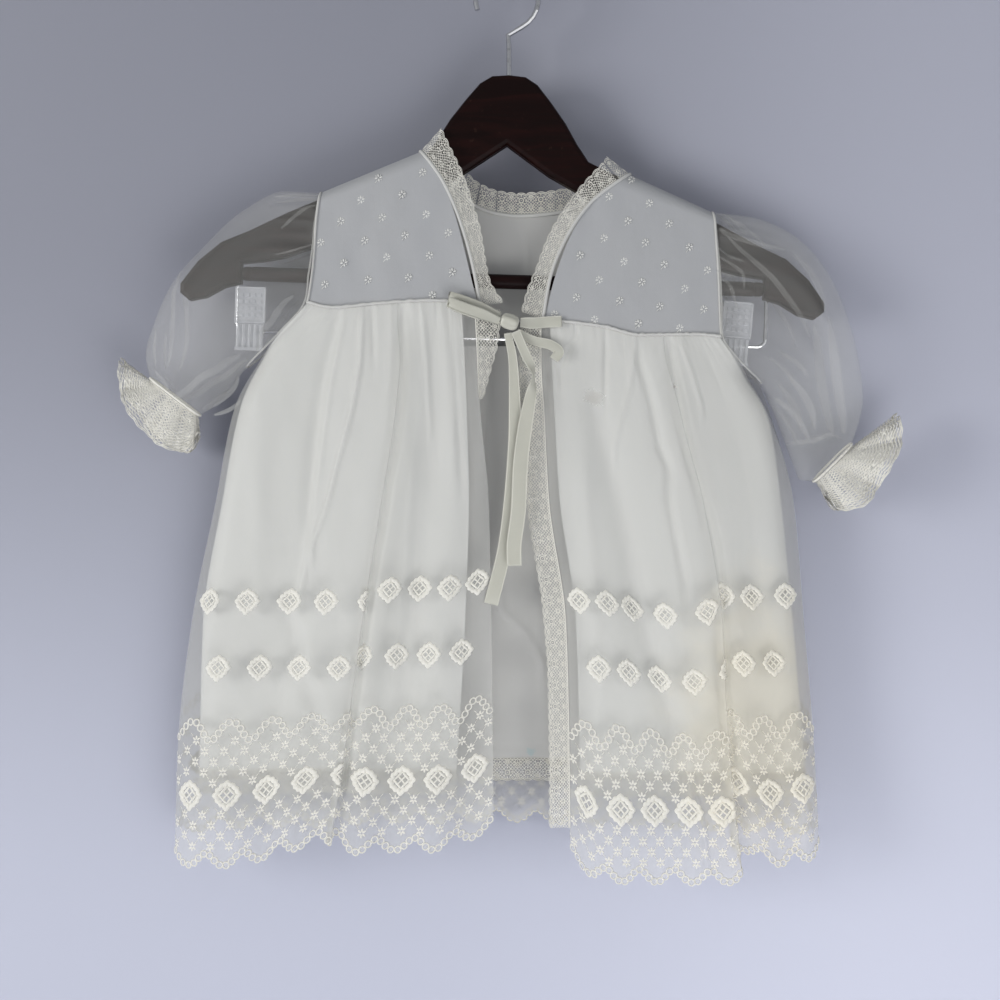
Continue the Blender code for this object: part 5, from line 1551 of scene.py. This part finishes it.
def build_stage(settings):
    scene = bpy.context.scene
    wall = Finish("wall with painted light", settings.wall_colour, 0.9)
    wall.bumped(wall.noise(300, 4.0), 0.1, 0.0005)
    wall.tint((0.30, 0.31, 0.34), wall.noise(3, 3.0), 0.12)
    split = wire_up(wall.tree, "ShaderNodeSeparateXYZ", (-1200, 200))
    wall.tree.links.new(wall.place, split.inputs[0])
    # Painted light: the wall and floor grow lighter towards the bottom, where more light falls
    wall.tint((0.62, 0.64, 0.74), wall.ranged(split.outputs["Z"], -0.15, -0.70), 0.68)
    # Painted light: the wall grows lighter towards the viewer's right
    wall.tint((0.80, 0.815, 0.93), wall.ranged(split.outputs["X"], -0.10, 0.36), 0.36)
    backdrop = wall.done()
    bottom, back, turn = -1.1, 0.034, 0.25
    profile = [(-4.0, bottom), (back - turn, bottom)]
    profile += [
        (back - turn + turn * math.sin(a), bottom + turn - turn * math.cos(a))
        for a in np.linspace(0.1, math.pi / 2 - 0.02, 14)
    ]
    profile += [(back, bottom + turn), (back, 2.4)]
    points = [(x * 1000, y * 1000, z * 1000) for y, z in profile for x in (-2.6, 2.6)]
    faces = [(i, i + 1, i + 3, i + 2) for i in range(0, len(points) - 2, 2)]
    sheet = add_mesh("backdrop", points, faces, backdrop)
    for name, place, size, share in (
        ("key", (-1.35, -0.95, -0.30), 0.7, 1.0), ("fill", (1.2, -1.5, -0.7), 1.6, 0.42),
        ("low", (0.25, -0.75, -1.0), 0.7, 0.36),
    ):
        lamp = bpy.data.lights.new(name, "AREA")
        lamp.shape = "DISK"
        lamp.size = size
        lamp.energy = settings.light_power * share
        obj = bpy.data.objects.new(name, lamp)
        obj.location = place
        aim = Vector((0, 0, -0.42)) - Vector(place)
        obj.rotation_euler = aim.to_track_quat("-Z", "Y").to_euler()
        scene.collection.objects.link(obj)
    scene.view_settings.view_transform = "Standard"
    world = bpy.data.worlds.new("studio")
    world.use_nodes = True
    ground = world.node_tree.nodes["Background"]
    ground.inputs[0].default_value = (0.80, 0.83, 0.90, 1)
    ground.inputs[1].default_value = settings.sky_strength
    scene.world = world
    camera = bpy.data.cameras.new("camera")
    camera.lens = 50
    camera.sensor_width = 36
    camera.clip_end = 20
    eye = bpy.data.objects.new("camera", camera)
    eye.location = (-0.0046, -0.917, -0.3496)
    eye.rotation_euler = (math.pi / 2, 0, 0)
    scene.collection.objects.link(eye)
    scene.camera = eye


class CoatSettings(bpy.types.PropertyGroup):
    """Sizes and colours of the coat and its stage"""

    organza_colour: bpy.props.FloatVectorProperty(
        name="Organza colour", description="Colour of the sheer cloth", subtype="COLOR", size=3,
        min=0, max=1, default=(0.665, 0.66, 0.61),
    )
    organza_cover: bpy.props.FloatProperty(
        name="Organza cover", description="How much the sheer cloth hides, from 0 to 1", subtype="FACTOR",
        min=0, max=1, default=0.34,
    )
    sleeve_cover: bpy.props.FloatProperty(
        name="Sleeve cover", description="How much one layer of a sleeve hides, from 0 to 1", subtype="FACTOR",
        min=0, max=1, default=0.17,
    )
    thread_colour: bpy.props.FloatVectorProperty(
        name="Thread colour", description="Colour of the embroidery", subtype="COLOR", size=3,
        min=0, max=1, default=(0.76, 0.74, 0.66),
    )
    lining_colour: bpy.props.FloatVectorProperty(
        name="Lining colour", description="Colour of the linings", subtype="COLOR", size=3,
        min=0, max=1, default=(0.74, 0.74, 0.70),
    )
    # Painted shade: the back lining gets a darker colour than the lining, for the shade inside the coat
    shaded_back_colour: bpy.props.FloatVectorProperty(
        name="Back lining colour", description="Colour of the back lining with painted shade, seen inside the coat",
        subtype="COLOR", size=3, min=0, max=1, default=(0.48, 0.475, 0.45),
    )
    # The yoke colour is partly the yoke's own grey, partly painted shade for the dimmer light near the top of the coat
    yoke_colour: bpy.props.FloatVectorProperty(
        name="Yoke colour", description="Colour of the yokes", subtype="COLOR", size=3,
        min=0, max=1, default=(0.37, 0.375, 0.38),
    )
    lace_colour: bpy.props.FloatVectorProperty(
        name="Lace colour", description="Colour of the lace", subtype="COLOR", size=3,
        min=0, max=1, default=(0.76, 0.74, 0.66),
    )
    ribbon_colour: bpy.props.FloatVectorProperty(
        name="Ribbon colour", description="Colour of the satin ribbon", subtype="COLOR", size=3,
        min=0, max=1, default=(0.48, 0.475, 0.40),
    )
    wood_colour: bpy.props.FloatVectorProperty(
        name="Wood colour", description="Colour of the hanger's wood", subtype="COLOR", size=3,
        min=0, max=1, default=(0.006, 0.0016, 0.0012),
    )
    wall_colour: bpy.props.FloatVectorProperty(
        name="Backdrop colour", description="Colour of the wall and floor behind the coat", subtype="COLOR",
        size=3, min=0, max=1, default=(0.27, 0.275, 0.315),
    )
    gather_depth: bpy.props.FloatProperty(
        name="Gather depth", description="How deep the gathers are, in millimetres", min=0, max=3, default=1.0,
    )
    ripple_depth: bpy.props.FloatProperty(
        name="Ripple depth", description="How deep the small wrinkles are, in millimetres", min=0, max=3,
        default=0.55,
    )
    sleeve_folds: bpy.props.FloatProperty(
        name="Sleeve folds", description="How deep the sleeves' folds are, as a share of the usual", min=0, max=3,
        default=1.0,
    )
    light_power: bpy.props.FloatProperty(
        name="Light power", description="Power of the main soft light", unit="POWER", min=0, max=500, default=14.5,
    )
    sky_strength: bpy.props.FloatProperty(
        name="Sky strength", description="Strength of the even light from all sides", min=0, max=5, default=0.42,
    )


class COAT_OT_skirts(bpy.types.Operator):
    """Build the gathered organza panels and their embroidery"""

    bl_idname = "coat.skirts"
    bl_label = "Skirt panels"

    def execute(self, context):
        build_skirts(context.scene.coat_settings)
        return {"FINISHED"}


class COAT_OT_linings(bpy.types.Operator):
    """Build the plain linings and the lace on their hems"""

    bl_idname = "coat.linings"
    bl_label = "Linings"

    def execute(self, context):
        build_linings(context.scene.coat_settings)
        return {"FINISHED"}


class COAT_OT_yokes(bpy.types.Operator):
    """Build the embroidered yokes and their piped seams"""

    bl_idname = "coat.yokes"
    bl_label = "Yokes"

    def execute(self, context):
        build_yokes(context.scene.coat_settings)
        return {"FINISHED"}


class COAT_OT_sleeves(bpy.types.Operator):
    """Build the sheer sleeves and their lace cuffs"""

    bl_idname = "coat.sleeves"
    bl_label = "Sleeves"

    def execute(self, context):
        build_sleeves(context.scene.coat_settings)
        return {"FINISHED"}


class COAT_OT_neck_laces(bpy.types.Operator):
    """Build the lace round the neck"""

    bl_idname = "coat.neck_laces"
    bl_label = "Neck lace"

    def execute(self, context):
        build_neck_laces(context.scene.coat_settings)
        return {"FINISHED"}


class COAT_OT_front_laces(bpy.types.Operator):
    """Build the lace down the front edges"""

    bl_idname = "coat.front_laces"
    bl_label = "Front lace"

    def execute(self, context):
        build_front_laces(context.scene.coat_settings)
        return {"FINISHED"}


class COAT_OT_ribbon(bpy.types.Operator):
    """Build the tied satin ribbon"""

    bl_idname = "coat.ribbon"
    bl_label = "Ribbon"

    def execute(self, context):
        build_ribbon(context.scene.coat_settings)
        return {"FINISHED"}


class COAT_OT_hanger(bpy.types.Operator):
    """Finish the hanger and its two clips"""

    bl_idname = "coat.hanger"
    bl_label = "Hanger"

    def execute(self, context):
        build_hanger(context.scene.coat_settings)
        return {"FINISHED"}


class COAT_OT_stage(bpy.types.Operator):
    """Build the backdrop, lights and camera"""

    bl_idname = "coat.stage"
    bl_label = "Stage"

    def execute(self, context):
        build_stage(context.scene.coat_settings)
        return {"FINISHED"}


OPERATORS = (
    COAT_OT_skirts, COAT_OT_linings, COAT_OT_yokes, COAT_OT_sleeves, COAT_OT_neck_laces, COAT_OT_front_laces,
    COAT_OT_ribbon, COAT_OT_hanger, COAT_OT_stage,
)


class COAT_PT_panel(bpy.types.Panel):
    """Settings and build steps of the coat"""

    bl_idname = "COAT_PT_panel"
    bl_label = "Christening coat"
    bl_space_type = "VIEW_3D"
    bl_region_type = "UI"
    bl_category = "Coat"

    def draw(self, context):
        settings = context.scene.coat_settings
        for name in settings.__annotations__:
            self.layout.prop(settings, name)
        for operator in OPERATORS:
            self.layout.operator(operator.bl_idname)


def register():
    bpy.utils.register_class(CoatSettings)
    bpy.types.Scene.coat_settings = bpy.props.PointerProperty(type=CoatSettings)
    for kind in (*OPERATORS, COAT_PT_panel):
        bpy.utils.register_class(kind)


def unregister():
    for kind in (COAT_PT_panel, *reversed(OPERATORS)):
        bpy.utils.unregister_class(kind)
    del bpy.types.Scene.coat_settings
    bpy.utils.unregister_class(CoatSettings)


def main():
    register()
    for operator in OPERATORS:
        group, action = operator.bl_idname.split(".")
        getattr(getattr(bpy.ops, group), action)()


if __name__ == "__main__":
    main()
